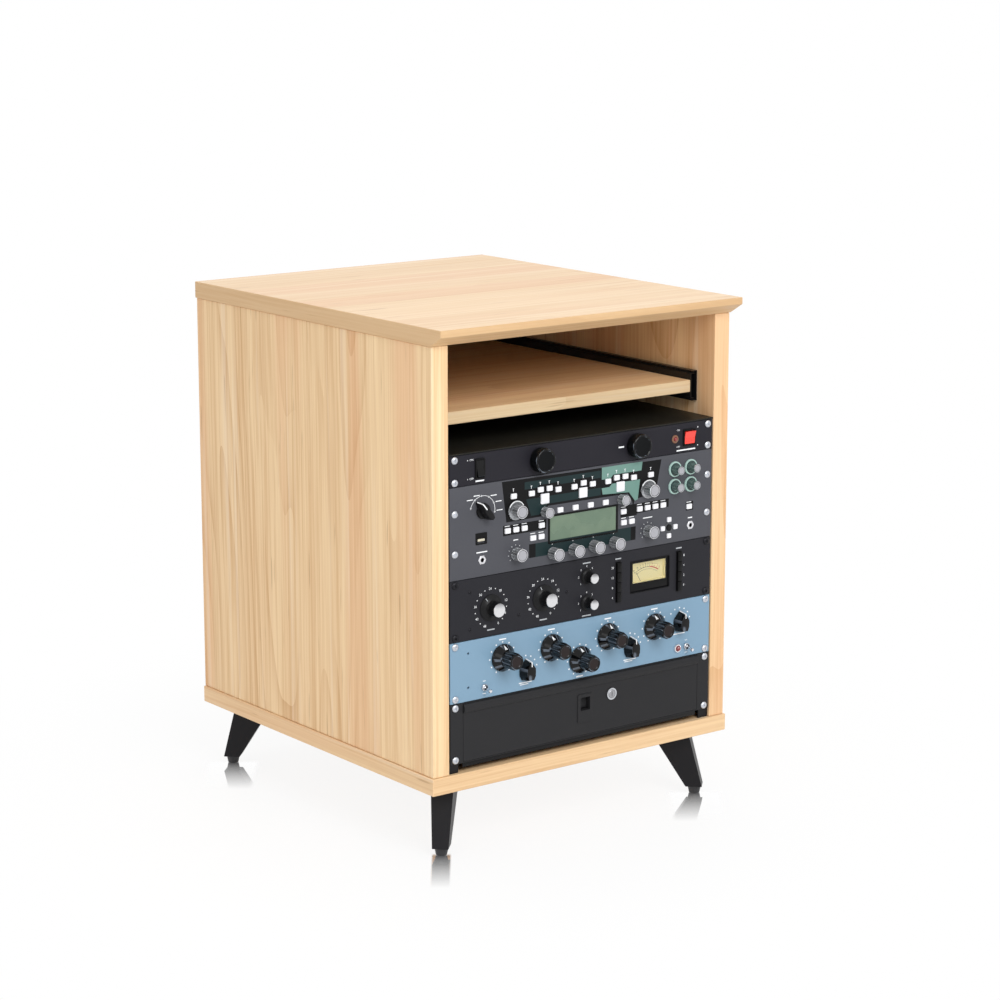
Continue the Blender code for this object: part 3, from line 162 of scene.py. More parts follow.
def addTo(target, source, matrix=None, index=None):
    # copies one bmesh into another and frees it; index is the material of all its faces
    if matrix:
        source.transform(matrix)
    if index is not None:
        for f in source.faces:
            f.material_index = index
    mesh = bpy.data.meshes.new("part")
    source.to_mesh(mesh)
    source.free()
    target.from_mesh(mesh)
    bpy.data.meshes.remove(mesh)
    return target


def cut(bm, cutter):
    # one closed bmesh less another
    objects = []
    for name, source in (("whole", bm), ("tool", cutter)):
        mesh = bpy.data.meshes.new(name)
        source.to_mesh(mesh)
        source.free()
        objects.append(bpy.data.objects.new(name, mesh))
        bpy.context.scene.collection.objects.link(objects[-1])
    modifier = objects[0].modifiers.new("Cut", "BOOLEAN")
    modifier.solver = "EXACT"
    modifier.object = objects[1]
    bpy.context.view_layer.update()
    result = bmesh.new()
    result.from_object(objects[0], bpy.context.evaluated_depsgraph_get())
    for obj in objects:
        mesh = obj.data
        bpy.data.objects.remove(obj)
        bpy.data.meshes.remove(mesh)
    return result


def opened(bm, width, height, radius, steps=4, deep=-0.01, centre=(0, 0)):
    # cuts a rounded window down to a level
    return cut(bm, plate(width, height, radius, deep, 0.01, steps, centre))


def place(name, bm, look, matrix=onFace, body="cabinet", stands=(), smooth=32):
    # look names one finish or more; the mesh keeps its own coordinates in an attribute
    mesh = bpy.data.meshes.new(name)
    layer = bm.verts.layers.float_vector.new("own")
    for vert in bm.verts:
        vert[layer] = vert.co
    bm.transform(matrix)
    bm.to_mesh(mesh)
    bm.free()
    mesh.shade_smooth()
    mesh.set_sharp_from_angle(angle=math.radians(smooth))
    for part in look.split():
        mesh.materials.append(finish[part])
    obj = bpy.data.objects.new(name, mesh)
    bpy.context.scene.collection.objects.link(obj)
    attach(obj, body)
    if stands:
        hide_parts(*stands)


def camelName(name):
    first, *others = name.split("_")
    return first + "".join(word.title() for word in others)


# Small helpers for shaders

def plug(tree, socket, value):
    if isinstance(value, bpy.types.NodeSocket):
        tree.links.new(value, socket)
    else:
        socket.default_value = value


def add(tree, kind, inputs=(), **settings):
    item = tree.nodes.new("ShaderNode" + kind)
    for key, value in settings.items():
        setattr(item, key, value)
    for key, value in dict(inputs).items():
        plug(tree, item.inputs[key], value)
    return item


def calc(tree, operation, *values, clamp=False):
    return add(tree, "Math", enumerate(values), operation=operation, use_clamp=clamp).outputs[0]


def times(tree, first, second, clamp=False):
    return calc(tree, "MULTIPLY", first, second, clamp=clamp)


def vectorMath(tree, operation, *values, output=0):
    return add(tree, "VectorMath", enumerate(values), operation=operation).outputs[output]


def noise(tree, vector, scale=1.0, detail=2.0, roughness=0.5):
    inputs = {"Vector": vector, "Scale": scale, "Detail": detail, "Roughness": roughness}
    return add(tree, "TexNoise", inputs).outputs["Fac"]


def stretch(tree, vector, scale, location=(0, 0, 0), rotation=(0, 0, 0)):
    inputs = {"Vector": vector, "Scale": scale, "Location": location, "Rotation": rotation}
    return add(tree, "Mapping", inputs).outputs[0]


def between(tree, value, low, high, newLow=0.0, newHigh=1.0):
    inputs = {"Value": value, "From Min": low, "From Max": high, "To Min": newLow, "To Max": newHigh}
    return add(tree, "MapRange", inputs, interpolation_type="SMOOTHSTEP").outputs[0]


def blendColour(tree, factor, first, second, mode="MIX"):
    return add(tree, "Mix", {0: factor, 6: first, 7: second}, data_type="RGBA", blend_type=mode).outputs[2]


def srgb(red, green, blue):
    # a colour read off a screen, as linear light
    def linear(c):
        c /= 255
        return c / 12.92 if c <= 0.04045 else ((c + 0.055) / 1.055) ** 2.4
    return (linear(red), linear(green), linear(blue), 1.0)


def newGroup(name, inputs):
    tree = bpy.data.node_groups.new(name, "ShaderNodeTree")
    for label, kind, value in inputs:
        socket = tree.interface.new_socket(name=label, in_out="INPUT", socket_type="NodeSocket" + kind)
        if value is not None:
            socket.default_value = value
    for label, kind in (("Color", "Color"), ("Roughness", "Float"), ("Height", "Float")):
        tree.interface.new_socket(name=label, in_out="OUTPUT", socket_type="NodeSocket" + kind)
    start = tree.nodes.new("NodeGroupInput").outputs
    end = tree.nodes.new("NodeGroupOutput").inputs
    return tree, start, end


def useGroup(tree, group, inputs):
    item = tree.nodes.new("ShaderNodeGroup")
    item.node_tree = group
    for key, value in inputs.items():
        plug(tree, item.inputs[key], value)
    return item.outputs


def newMaterial(name, **values):
    mat = bpy.data.materials.new(name)
    mat.use_nodes = True
    shader = mat.node_tree.nodes["Principled BSDF"]
    for key, value in values.items():
        shader.inputs[key.replace("_", " ")].default_value = value
    return mat, mat.node_tree, shader


def wear(tree, shader, skin, strength, distance, colour=None):
    # puts a group's colour, roughness and height on the shader
    plug(tree, shader.inputs["Base Color"], skin["Color"] if colour is None else colour)
    plug(tree, shader.inputs["Roughness"], skin["Roughness"])
    inputs = {"Height": skin["Height"], "Strength": strength, "Distance": distance}
    plug(tree, shader.inputs["Normal"], add(tree, "Bump", inputs).outputs[0])


def objectCoordinates(tree):
    return add(tree, "TexCoord").outputs["Object"]


def ownCoordinates(tree):
    return add(tree, "Attribute", attribute_name="own").outputs["Vector"]


# Camera, floor and light

cameraSettings = {
    "location": (-2.51267, -3.38712, 1.34146),
    "rotation": (math.pi / 2 - 0.21, 0, -0.6507),
    "lens": 102.23,
}


def buildCamera():
    data = bpy.data.cameras.new("camera")
    data.lens = cameraSettings["lens"]
    data.sensor_width = 36
    data.clip_end = 60
    camera = bpy.data.objects.new("camera", data)
    camera.location = cameraSettings["location"]
    camera.rotation_euler = cameraSettings["rotation"]
    bpy.context.scene.collection.objects.link(camera)
    bpy.context.scene.camera = camera


lightSettings = {
    "worldLevel": 0.62,
    "lamps": (
        # name, place, what it looks at, size, power, whether it glints
        ("keyLight", (-0.4, -3.6, 2.7), (0, -0.2, 0.4), 2.2, 84, True),
        ("fillLight", (-3.4, -1.2, 2.0), (0, 0, 0.4), 2.4, 18, True),
        ("topLight", (0.2, 0.6, 3.4), (0, 0, 0.5), 2.0, 18, True),
        ("rearLight", (1.0, 3.2, 0.35), (0, 0, 0.35), 0.6, 24, False),
        ("glintLight", (-1.3, -2.4, 2.6), (0, -0.2, 0.3), 0.35, 7, True),
    ),
}


def seenDirectly(tree, rays):
    seen = calc(tree, "MAXIMUM", rays["Is Camera Ray"], rays["Is Transmission Ray"])
    return calc(tree, "MAXIMUM", seen, rays["Is Glossy Ray"])


def buildLight():
    world = bpy.data.worlds.new("studio")
    bpy.context.scene.world = world
    world.use_nodes = True
    tree = world.node_tree
    background = tree.nodes["Background"]
    seen = seenDirectly(tree, add(tree, "LightPath").outputs)
    background.inputs["Color"].default_value = (1, 1, 1, 1)
    plug(tree, background.inputs["Strength"], between(tree, seen, 0, 1, lightSettings["worldLevel"], 1.0))
    for name, where, target, size, power, glints in lightSettings["lamps"]:
        lamp = bpy.data.lights.new(name, "AREA")
        lamp.shape = "DISK"
        lamp.size = size
        lamp.energy = power
        obj = bpy.data.objects.new(name, lamp)
        obj.location = where
        obj.rotation_euler = (Vector(target) - Vector(where)).to_track_quat("-Z", "Y").to_euler()
        obj.visible_glossy = glints
        bpy.context.scene.collection.objects.link(obj)
    bpy.context.scene.view_settings.view_transform = "Standard"


floorSettings = {
    "radius": 9,
    "whiteNear": 0.88,
    "whiteFrom": (0.3, 1.0),  # between these distances the floor turns into the plain white background
    "polishReach": 0.14,  # how far in front of a foot its reflection fades out
    "polishSide": (0.012, 0.033),  # how wide it is: at least, and more where the leg leans sideways
    "polishRoughness": 0.04,
    "viewTurn": -37,
}


def polishNearFeet(tree, point):
    # a strip in front of each foot, on the side that the picture is seen from
    s = floorSettings
    turn = math.radians(s["viewTurn"])
    ahead, aside = (math.sin(turn), -math.cos(turn), 0), (math.cos(turn), math.sin(turn), 0)
    near = 0.0
    for name in ("foot_front_left", "foot_front_right", "foot_rear_left", "foot_rear_right"):
        low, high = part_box(name)
        centre = ((low.x + high.x) / 2, (low.y + high.y) / 2, 0)
        away = vectorMath(tree, "SUBTRACT", point, centre)
        along = vectorMath(tree, "DOT_PRODUCT", away, ahead, output="Value")
        across = calc(tree, "ABSOLUTE", vectorMath(tree, "DOT_PRODUCT", away, aside, output="Value"))
        fade = calc(tree, "SUBTRACT", 1.0, calc(tree, "DIVIDE", along, s["polishReach"]), clamp=True)
        fade = times(tree, fade, between(tree, along, -0.006, 0.008))
        lean = abs(Vector(centre).normalized().dot(Vector(aside)))
        side = s["polishSide"][0] + s["polishSide"][1] * lean
        fade = times(tree, fade, between(tree, across, side, side * 0.75))
        near = calc(tree, "MAXIMUM", fade, near)
    return near


def buildFloor():
    s = floorSettings
    bm = bmesh.new()
    bmesh.ops.create_circle(bm, cap_ends=True, segments=96, radius=s["radius"])
    mesh = bpy.data.meshes.new("studioFloor")
    bm.to_mesh(mesh)
    bm.free()
    mat, tree, shader = newMaterial("palePolishedFloor", Roughness=0.5)
    point = objectCoordinates(tree)
    grain = noise(tree, point, 60, 4)
    plug(tree, shader.inputs["Base Color"], blendColour(tree, grain, (0.9, 0.9, 0.9, 1), (0.93, 0.93, 0.93, 1)))
    rays = add(tree, "LightPath").outputs
    radius = vectorMath(tree, "LENGTH", point, output="Value")
    white = add(tree, "Emission", {"Color": (1, 1, 1, 1), "Strength": 1.0}).outputs[0]
    factor = times(tree, between(tree, radius, *s["whiteFrom"], s["whiteNear"], 1.0), seenDirectly(tree, rays))
    mixed = add(tree, "MixShader", {0: factor, 1: shader.outputs[0], 2: white}).outputs[0]
    mirror = add(tree, "BsdfGlossy", {"Color": (1, 1, 1, 1), "Roughness": s["polishRoughness"]}).outputs[0]
    grazing = between(tree, add(tree, "LayerWeight", {"Blend": 0.5}).outputs["Facing"], 0.3, 0.55)
    shown = times(tree, times(tree, polishNearFeet(tree, point), rays["Is Camera Ray"]), grazing)
    mixed = add(tree, "MixShader", {0: shown, 1: mixed, 2: mirror}).outputs[0]
    plug(tree, tree.nodes["Material Output"].inputs["Surface"], mixed)
    mesh.materials.append(mat)
    floor = bpy.data.objects.new("studioFloor", mesh)
    bpy.context.scene.collection.objects.link(floor)


buildCamera()
buildLight()
buildFloor()
print("stage: camera, light and floor")


# Groups that several finishes share

def buildMapleFigure():
    # Grain: x and y across the fibres, z along them, in metres
    tree, start, end = newGroup("mapleFigure", [
        ("Grain", "Vector", None), ("Light", "Color", None), ("Dark", "Color", None), ("Warm", "Color", None),
        ("Figure", "Float", 0.5),
    ])
    grain = start["Grain"]
    sway = noise(tree, stretch(tree, grain, (3.0, 3.0, 1.5)), 1, 2)
    sway = calc(tree, "MULTIPLY_ADD", sway, 0.024, -0.012)
    bent = vectorMath(tree, "ADD", grain, add(tree, "CombineXYZ", {0: sway, 1: sway}).outputs[0])

    def streaks(vector, across, along, low, high, detail=2.0, roughness=0.5, location=(0, 0, 0)):
        spread = stretch(tree, vector, (across, across, along), location)
        return between(tree, noise(tree, spread, 1, detail, roughness), low, high)

    # contour lines of a long soft hill are the cathedral figure of a plain sawn board
    hill = noise(tree, stretch(tree, bent, (7.5, 7.5, 0.85)), 1, 1.4, 0.35)
    ring = calc(tree, "POWER", calc(tree, "FRACT", times(tree, hill, board["rings"])), 3.0)
    rings = times(tree, ring, streaks(grain, 6, 1.2, 0.47, 0.62, location=(3, 1, 2)))
    band = streaks(bent, 19, 0.5, 0.36, 0.66, location=(2, 5, 1))
    line = streaks(bent, 135, 1.5, 0.42, 0.66, 3, 0.66)
    fine = streaks(grain, 380, 4, 0.3, 0.7, 2, 0.7)
    warm = streaks(bent, 11, 0.5, 0.46, 0.64, 2.5, 0.6, (7, 2, 5))
    pale = streaks(bent, 62, 0.8, 0.57, 0.7, location=(4, 4, 9))
    fleck = streaks(grain, 190, 10, 0.71, 0.78, 1, location=(1, 4, 0))
    figure = times(tree, rings, 0.4)
    for mask, share in ((band, 0.24), (line, 0.27), (fine, 0.24)):
        figure = calc(tree, "MULTIPLY_ADD", mask, share, figure)
    wood = blendColour(tree, times(tree, figure, start["Figure"], True), start["Light"], start["Dark"])
    layers = ((warm, 0.45, start["Warm"]), (pale, 0.32, srgb(246, 226, 200)), (fleck, 0.34, srgb(146, 100, 62)))
    for mask, share, colour in layers:
        wood = blendColour(tree, times(tree, mask, share), wood, colour)
    plug(tree, end["Color"], wood)
    plug(tree, end["Roughness"], between(tree, calc(tree, "ADD", line, fine), 0.2, 1.8, 0.44, 0.58))
    plug(tree, end["Height"], calc(tree, "MULTIPLY_ADD", fine, -0.7, times(tree, rings, -0.3)))
    return tree


def buildPaintSkin():
    # the faint orange peel, uneven gloss and settled dust of a sprayed or powder coated surface
    tree, start, end = newGroup("paintSkin", [
        ("Vector", "Vector", None), ("Color", "Color", None), ("Scale", "Float", 900.0), ("Gloss", "Float", 0.4),
        ("Spread", "Float", 0.1), ("Dust", "Float", 0.05),
    ])
    point = start["Vector"]
    cloud = noise(tree, point, 14, 4, 0.6)
    rub = noise(tree, stretch(tree, point, (30, 30, 90)), 1, 3, 0.7)
    spread = calc(tree, "SUBTRACT", calc(tree, "ADD", cloud, rub), 1.0)
    speck = between(tree, noise(tree, point, 2600, 1), 0.66, 0.74)
    dust = times(tree, calc(tree, "MULTIPLY_ADD", speck, 0.5, cloud), start["Dust"])
    plug(tree, end["Color"], blendColour(tree, dust, start["Color"], srgb(176, 172, 166)))
    plug(tree, end["Roughness"], calc(tree, "MULTIPLY_ADD", spread, start["Spread"], start["Gloss"]))
    plug(tree, end["Height"], noise(tree, point, start["Scale"], 2, 0.6))
    return tree


def buildSpunMetal():
    # Own: a turned piece's own coordinates, with z along its axis
    tree, start, end = newGroup("spunMetal", [
        ("Own", "Vector", None), ("Color", "Color", None), ("Rings", "Float", 5200.0), ("Gloss", "Float", 0.22),
    ])
    flat = vectorMath(tree, "MULTIPLY", start["Own"], (1, 1, 0))
    swirl = times(tree, vectorMath(tree, "LENGTH", flat, output="Value"), start["Rings"])
    ring = noise(tree, add(tree, "CombineXYZ", {0: swirl}).outputs[0], 1, 3, 0.7)
    smudge = noise(tree, start["Own"], 240, 3)
    dark = blendColour(tree, 0.35, start["Color"], (0, 0, 0, 1))
    plug(tree, end["Color"], blendColour(tree, between(tree, ring, 0.35, 0.75), start["Color"], dark))
    uneven = calc(tree, "MULTIPLY_ADD", ring, 0.16, times(tree, smudge, 0.1))
    plug(tree, end["Roughness"], calc(tree, "ADD", uneven, start["Gloss"]))
    plug(tree, end["Height"], ring)
    return tree


board = {
    # the light wood, its dark lines and its warm bands
    "side": (srgb(247, 217, 172), srgb(204, 158, 108), srgb(226, 172, 128)),
    "flat": (srgb(238, 211, 176), srgb(210, 170, 128), srgb(226, 182, 146)),
    "edge": (srgb(240, 208, 164), srgb(196, 150, 102), srgb(218, 164, 120)),
    "rings": 14.0,
    "specular": 0.42,
    "nodes": {
        # material, the fibres' axis, the pattern's place, tone, figure, the fibres' axis on the edges that face
        # sideways, and the painted shade multiplied onto all faces that don't face up
        "side_panel_left": ("mapleSideLeft", "Z", (0.31, 0.04, 0.2), "side", 1.0, None, None),
        "side_panel_right": ("mapleSideRight", "Z", (0.93, 1.32, 2.2), "side", 1.0, None, None),
        "top_panel": ("mapleTop", "X", (1.5, 0.7, 0.4), "flat", 0.6, "Y", (0.8, 0.71, 0.58, 1)),
        "bottom_panel": ("mapleBottom", "X", (2.4, 3.1, 1.4), "edge", 0.8, "Y", None),
        "shelf_board": ("mapleShelf", "X", (4.1, 0.2, 3.4), "edge", 0.6, "Y", (0.8, 0.86, 0.9, 1)),
    },
}
mapleFigure = buildMapleFigure()
paintSkin = buildPaintSkin()
spunMetal = buildSpunMetal()


def maple(name, along, offset, tone, figure, edgeAlong, edgeShade):
    mat, tree, shader = newMaterial(name, Specular_IOR_Level=board["specular"])
    spin = {"X": (0, math.pi / 2, 0), "Y": (math.pi / 2, 0, 0), "Z": (0, 0, 0)}
    coords = add(tree, "TexCoord").outputs
    grain = stretch(tree, coords["Object"], (1, 1, 1), offset, spin[along])
    facing = add(tree, "SeparateXYZ", {0: coords["Normal"]}).outputs
    if edgeAlong:
        other = stretch(tree, coords["Object"], (1, 1, 1), offset, spin[edgeAlong])
        sideways = calc(tree, "GREATER_THAN", calc(tree, "ABSOLUTE", facing[0]), 0.7)
        grain = add(tree, "Mix", {0: sideways, 4: grain, 5: other}, data_type="VECTOR").outputs[1]
    light, dark, warm = board[tone]
    inputs = {"Grain": grain, "Light": light, "Dark": dark, "Warm": warm, "Figure": figure}
    wood = useGroup(tree, mapleFigure, inputs)
    colour = wood["Color"]
    # painted shade: every face that doesn't face up is multiplied darker, standing in for shadow on edges and
    # underside
    if edgeShade:
        colour = blendColour(tree, calc(tree, "LESS_THAN", facing[2], 0.8), colour, edgeShade, "MULTIPLY")
    wear(tree, shader, wood, 0.25, 0.00012, colour)
    return mat


def paint(name, colour, scale=900.0, gloss=0.4, spread=0.12, dust=0.02, depth=0.00006, strength=0.35,
          specular=0.5, **values):
    mat, tree, shader = newMaterial(name, Specular_IOR_Level=specular, **values)
    inputs = {"Vector": objectCoordinates(tree), "Color": srgb(*colour), "Scale": scale, "Gloss": gloss,
              "Spread": spread, "Dust": dust}
    wear(tree, shader, useGroup(tree, paintSkin, inputs), strength, depth)
    return mat


def metal(name, colour, rings=5200.0, gloss=0.22, metallic=1.0):
    mat, tree, shader = newMaterial(name, Metallic=metallic)
    inputs = {"Own": ownCoordinates(tree), "Color": srgb(*colour), "Rings": rings, "Gloss": gloss}
    wear(tree, shader, useGroup(tree, spunMetal, inputs), 0.3, 0.00003)
    return mat


def clearGlass(name, rough, tint=(1, 1, 1, 1), clear=1.0):
    mat, tree, shader = newMaterial(name, Base_Color=tint, IOR=1.45, Transmission_Weight=clear)
    haze = noise(tree, objectCoordinates(tree), 60, 3)
    plug(tree, shader.inputs["Roughness"], between(tree, haze, 0.3, 0.8, rough, rough + 0.07))
    return mat


def paintHighlightStreaks(mat, colour, turns, low, high):
    # painted highlights: pale streaks that run along a turned or ribbed piece, picked by which way each face turns,
    # stand in for reflected light; faces that look straight ahead stay plain
    tree = mat.node_tree
    base = tree.nodes["Principled BSDF"].inputs["Base Color"]
    old = base.links[0].from_socket if base.is_linked else tuple(base.default_value)
    around = stretch(tree, add(tree, "TexCoord").outputs["Normal"], (turns, 0, turns))
    mask = between(tree, noise(tree, around, 1, 2), low, high)
    plug(tree, base, blendColour(tree, mask, old, srgb(*colour)))
    return mat


def liquidDisplay():
    # a dim green panel with a faint grid of cells
    mat, tree, shader = newMaterial("liquidDisplay", Specular_IOR_Level=0.3)
    own = ownCoordinates(tree)
    cell, border = 0.00052, 0.00008
    axes = add(tree, "SeparateXYZ", {0: vectorMath(tree, "MODULO", own, (cell, cell, 1))}).outputs
    line = calc(tree, "MINIMUM", calc(tree, "ABSOLUTE", axes[0]), calc(tree, "ABSOLUTE", axes[1]))
    line = calc(tree, "LESS_THAN", line, border)
    glow = noise(tree, own, 22, 2)
    lit = blendColour(tree, between(tree, glow, 0.3, 0.7), srgb(101, 121, 103), srgb(113, 131, 111))
    lit = blendColour(tree, times(tree, line, 0.35), lit, srgb(92, 110, 96))
    plug(tree, shader.inputs["Base Color"], lit)
    plug(tree, shader.inputs["Roughness"], between(tree, glow, 0.2, 0.8, 0.22, 0.34))
    return mat


def buildFinishes():
    paints = {
        # name, colour, scale of the peel, gloss, its spread, dust, depth and strength of the peel, specular level
        "laminate": ("blackLaminate", (24, 24, 25), 500, 0.5, 0.12, 0.03, 0.00006, 0.35, 0.3),
        "divider": ("blackDivider", (20, 20, 16), 700, 0.42, 0.1, 0.02, 0.00006, 0.35, 0.2),
        "steel": ("blackPowderCoat", (22, 21, 24), 1400, 0.42, 0.12, 0.008, 0.0001, 0.35, 0.18),
        "slide": ("blackSlideSteel", (17, 17, 19), 300, 0.32, 0.1, 0.01, 0.00006, 0.35, 0.3),
        "conditioner": ("conditionerPaint", (31, 30, 37), 900, 0.5, 0.1, 0.01, 0.00008, 0.5, 0.16),
        "modeller": ("modellerPaint", (74, 75, 81), 1100, 0.5, 0.1, 0.015, 0.00006, 0.4, 0.2),
        "compressor": ("compressorAnodised", (36, 36, 41), 1600, 0.46, 0.08, 0.008, 0.00003, 0.3, 0.14),
        "equaliser": ("equaliserEnamel", (122, 154, 178), 700, 0.34, 0.08, 0.02, 0.00005, 0.3, 0.4),
        "drawer": ("drawerPowderCoat", (37, 37, 39), 1300, 0.46, 0.12, 0.01, 0.00009, 0.5, 0.16),
        "case": ("caseSteel", (30, 30, 33), 900, 0.46, 0.12, 0.03, 0.00006, 0.35, 0.2),
        "gloss": ("blackPhenolic", (5, 5, 6), 160, 0.09, 0.05, 0.001, 0.00002, 0.2, 0.26),
        "satin": ("blackPlastic", (15, 15, 17), 1500, 0.38, 0.08, 0.006, 0.00003, 0.3, 0.2),
        "lamp": ("lightCapPlastic", (9, 11, 13), 1500, 0.34, 0.06, 0.002, 0.00003, 0.3, 0.1),
        "brown": ("darkCapDisc", (34, 25, 25), 800, 0.24, 0.06, 0.01, 0.00002, 0.2, 0.2),
        "white": ("whiteButton", (232, 232, 236), 1200, 0.36, 0.05, 0, 0.00002, 0.2, 0.3),
        "ivory": ("ivoryPlastic", (206, 200, 180), 1200, 0.36, 0.05, 0, 0.00002, 0.2),
        "whiteInk": ("whiteInk", (240, 242, 244), 3000, 0.5, 0.05, 0),
        "dimInk": ("greyInk", (176, 180, 184), 3000, 0.5, 0.05, 0),
        "blackInk": ("blackInk", (10, 10, 12), 3000, 0.46, 0.05, 0.003, 0.00006, 0.35, 0.16),
        "tealInk": ("darkTealInk", (24, 42, 44), 3000, 0.46, 0.05, 0.003, 0.00006, 0.35, 0.2),
        "greenInk": ("paleGreenInk", (108, 143, 134), 3000, 0.46, 0.05, 0.005, 0.00006, 0.35, 0.25),
        "redInk": ("redInk", (196, 62, 44), 3000, 0.5, 0.05, 0),
        "bezel": ("blackBezel", (8, 8, 9), 900, 0.3, 0.06, 0.003, 0.00003, 0.3, 0.16),
        "copper": ("lampRing", (124, 84, 62), 1200, 0.3, 0.06, 0, 0.00002, 0.2),
        "foot": ("footPlastic", (52, 52, 54), 800, 0.45, 0.12, 0.02, 0.00006, 0.35, 0.2),
        "core": ("greyCore", (74, 76, 80), 900, 0.3, 0.06, 0),
        "greenCore": ("greenCore", (52, 72, 70), 900, 0.3, 0.06, 0),
    }
    lenses = {
        # the same, and a clear coat
        "mint": (("mintLens", (168, 198, 190), 1200, 0.2, 0.06, 0, 0.00002, 0.2), 0.4),
        "redLens": (("redLens", (244, 58, 44), 500, 0.18, 0.06, 0, 0.00002, 0.2), 0.4),
        "darkRed": (("redJewel", (130, 14, 24), 500, 0.1, 0.04, 0, 0.00002, 0.2), 0.8),
    }
    metals = {
        # name, colour, turned rings to the metre, gloss, metallic
        "silver": ("spunAluminium", (196, 196, 202)),
        "bright": ("cutEdge", (244, 244, 248), 900, 0.14),
        "chrome": ("chrome", (206, 208, 213), 900, 0.06),
        "zinc": ("zincScrew", (214, 217, 224), 3000, 0.2),
        "cap": ("turnedCap", (236, 236, 238), 5200, 0.3),
        "blackScrew": ("blackOxideScrew", (40, 40, 44), 3000, 0.26, 0.8),
        "lock": ("lockPlug", (172, 172, 176), 2000, 0.2, 0.9),
    }
    paintedStreaks = {
        # painted highlight streaks: their colour, how many, and where they start and are full
        "gloss": ((94, 102, 113), 3.0, 0.56, 0.66),
        "cap": ((120, 120, 124), 4.0, 0.5, 0.6),
        "greenClear": ((178, 206, 200), 5.0, 0.5, 0.62),
        "clear": ((226, 229, 234), 5.0, 0.44, 0.58),
    }
    finish.update({name: paint(*row) for name, row in paints.items()})
    finish.update({name: paint(*row, Coat_Weight=coat) for name, (row, coat) in lenses.items()})
    finish.update({name: metal(*row) for name, row in metals.items()})
    finish["greenClear"] = clearGlass("greenSleeve", 0.1, (0.12, 0.19, 0.18, 1), 0.45)
    finish["clear"] = clearGlass("clearSleeve", 0.08, (0.2, 0.21, 0.22, 1), 0.55)
    finish["glass"] = clearGlass("windowGlass", 0.02)
    finish["display"] = liquidDisplay()
    # painted light: the dial's faint warm emission makes it glow though no lamp lights it
    finish["paper"] = paint("meterPaper", (234, 222, 166), 1800, 0.6, 0.05, 0, 0.00002, 0.2,
                            Emission_Color=(0.8, 0.72, 0.36, 1), Emission_Strength=0.05)
    # painted highlight streaks go onto the gloss, cap and both sleeve finishes
    for name, row in paintedStreaks.items():
        paintHighlightStreaks(finish[name], *row)


buildFinishes()
print("finishes: wood, paints, plastics, metals and glass")


# Cabinet: nodes that keep their own form

def dress(name, material, width=0.0, segments=2):
    # a width above nothing also eases the node's edges
    obj = nodes[name]
    obj.data.materials.clear()
    obj.data.materials.append(material)
    if width:
        weld = obj.modifiers.new("Weld", "WELD")
        weld.merge_threshold = 0.00001
        ease = obj.modifiers.new("Ease", "BEVEL")
        ease.width = width
        ease.segments = segments
        ease.limit_method = "ANGLE"
        ease.angle_limit = math.radians(35)


def buildCabinet():
    for name, settings in board["nodes"].items():
        dress(name, maple(*settings))
    dress("back_panel", finish["laminate"], 0.0003)
    dress("rack_divider", finish["divider"], 0.0003)
    for name in nodes:
        if name.startswith("leg_"):
            dress(name, finish["steel"], 0.001, 3)
        elif name.startswith("rack_rail_"):
            dress(name, finish["steel"], 0.0003)
        elif name.startswith("slide_"):
            dress(name, finish["slide"])


# Feet and fasteners

def screwHead(radius, rise):
    # a pan head with a cross recess, and its shank
    bm = spun([(0, rise), (radius * 0.45, rise * 0.97), (radius * 0.78, rise * 0.78), (radius * 0.95, rise * 0.42),
               (radius, 0.0003), (radius * 0.97, 0), (radius * 0.5, 0), (radius * 0.5, -0.008), (0, -0.008)], 24)
    for turn in (0, math.pi / 2):
        arm = bmesh.new()
        ends = block(arm, (radius * 1.05, radius * 0.24, rise), (0, 0, rise * 0.98))
        bmesh.ops.scale(arm, vec=(0.4, 0.7, 1), verts=[v for v in ends if v.co.z < rise])
        arm.transform(Matrix.Rotation(turn, 4, "Z"))
        bm = cut(bm, arm)
    return bm


feet = {
    "height": 0.0115, "radius": 0.0104, "floorRadius": 0.008, "stemTop": 0.0334,
    "threads": 30, "threadPitch": 0.0007,
    "platePitch": 0.046, "plateUnder": 0.0971, "splay": 0.0375, "screw": (0.004, 0.002),
}


def buildFeet():
    # each leg has a moulded glide on a threaded stem, and four screws through its plate into the bottom board
    s = feet
    screws = bmesh.new()
    floor, top, rise = s["floorRadius"], s["radius"], s["height"]
    for name in [name for name in nodes if name.startswith("foot_")]:
        low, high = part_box(name)
        middle = Vector(((low.x + high.x) / 2, (low.y + high.y) / 2, 0))
        thread = [(0.004 - 0.0004 * (i % 2), rise + 0.0002 + s["threadPitch"] * i) for i in range(s["threads"])]
        bm = spun([(0, 0.0003), (floor * 0.7, 0.0003), (floor * 0.75, 0), (floor * 0.93, 0), (floor, 0.0006),
                   (floor * 1.05, 0.002), (top * 0.96, rise - 0.0018), (top, rise - 0.001), (top, rise - 0.0003),
                   (top * 0.96, rise), *thread, (0.003, s["stemTop"]), (0, s["stemTop"])], 40)
        place(camelName(name), bm, "foot", Matrix.Translation(middle), name, [name])
        turn = Matrix.Rotation(math.atan2(math.copysign(1, middle.y), math.copysign(1, middle.x)), 3, "Z")
        centre = middle - turn @ Vector((s["splay"], 0, 0))
        for cx in (-0.5, 0.5):
            for cy in (-0.5, 0.5):
                spot = centre + turn @ Vector((cx * s["platePitch"], cy * s["platePitch"], 0))
                spot.z = s["plateUnder"]
                addTo(screws, screwHead(*s["screw"]), Matrix.Translation(spot) @ Matrix.Rotation(math.pi, 4, "X"))
    place("legScrews", screws, "blackScrew", Matrix())


# Faceplates, cases and rack screws

gear = {
    # first rack unit from the top, height in units, case depth
    "conditioner": (0, 1, 0.267),
    "modeller": (1, 3, 0.25),
    "compressor": (4, 2, 0.305),
    "equaliser": (6, 2, 0.28),
    "drawer": (8, 2, 0),
}


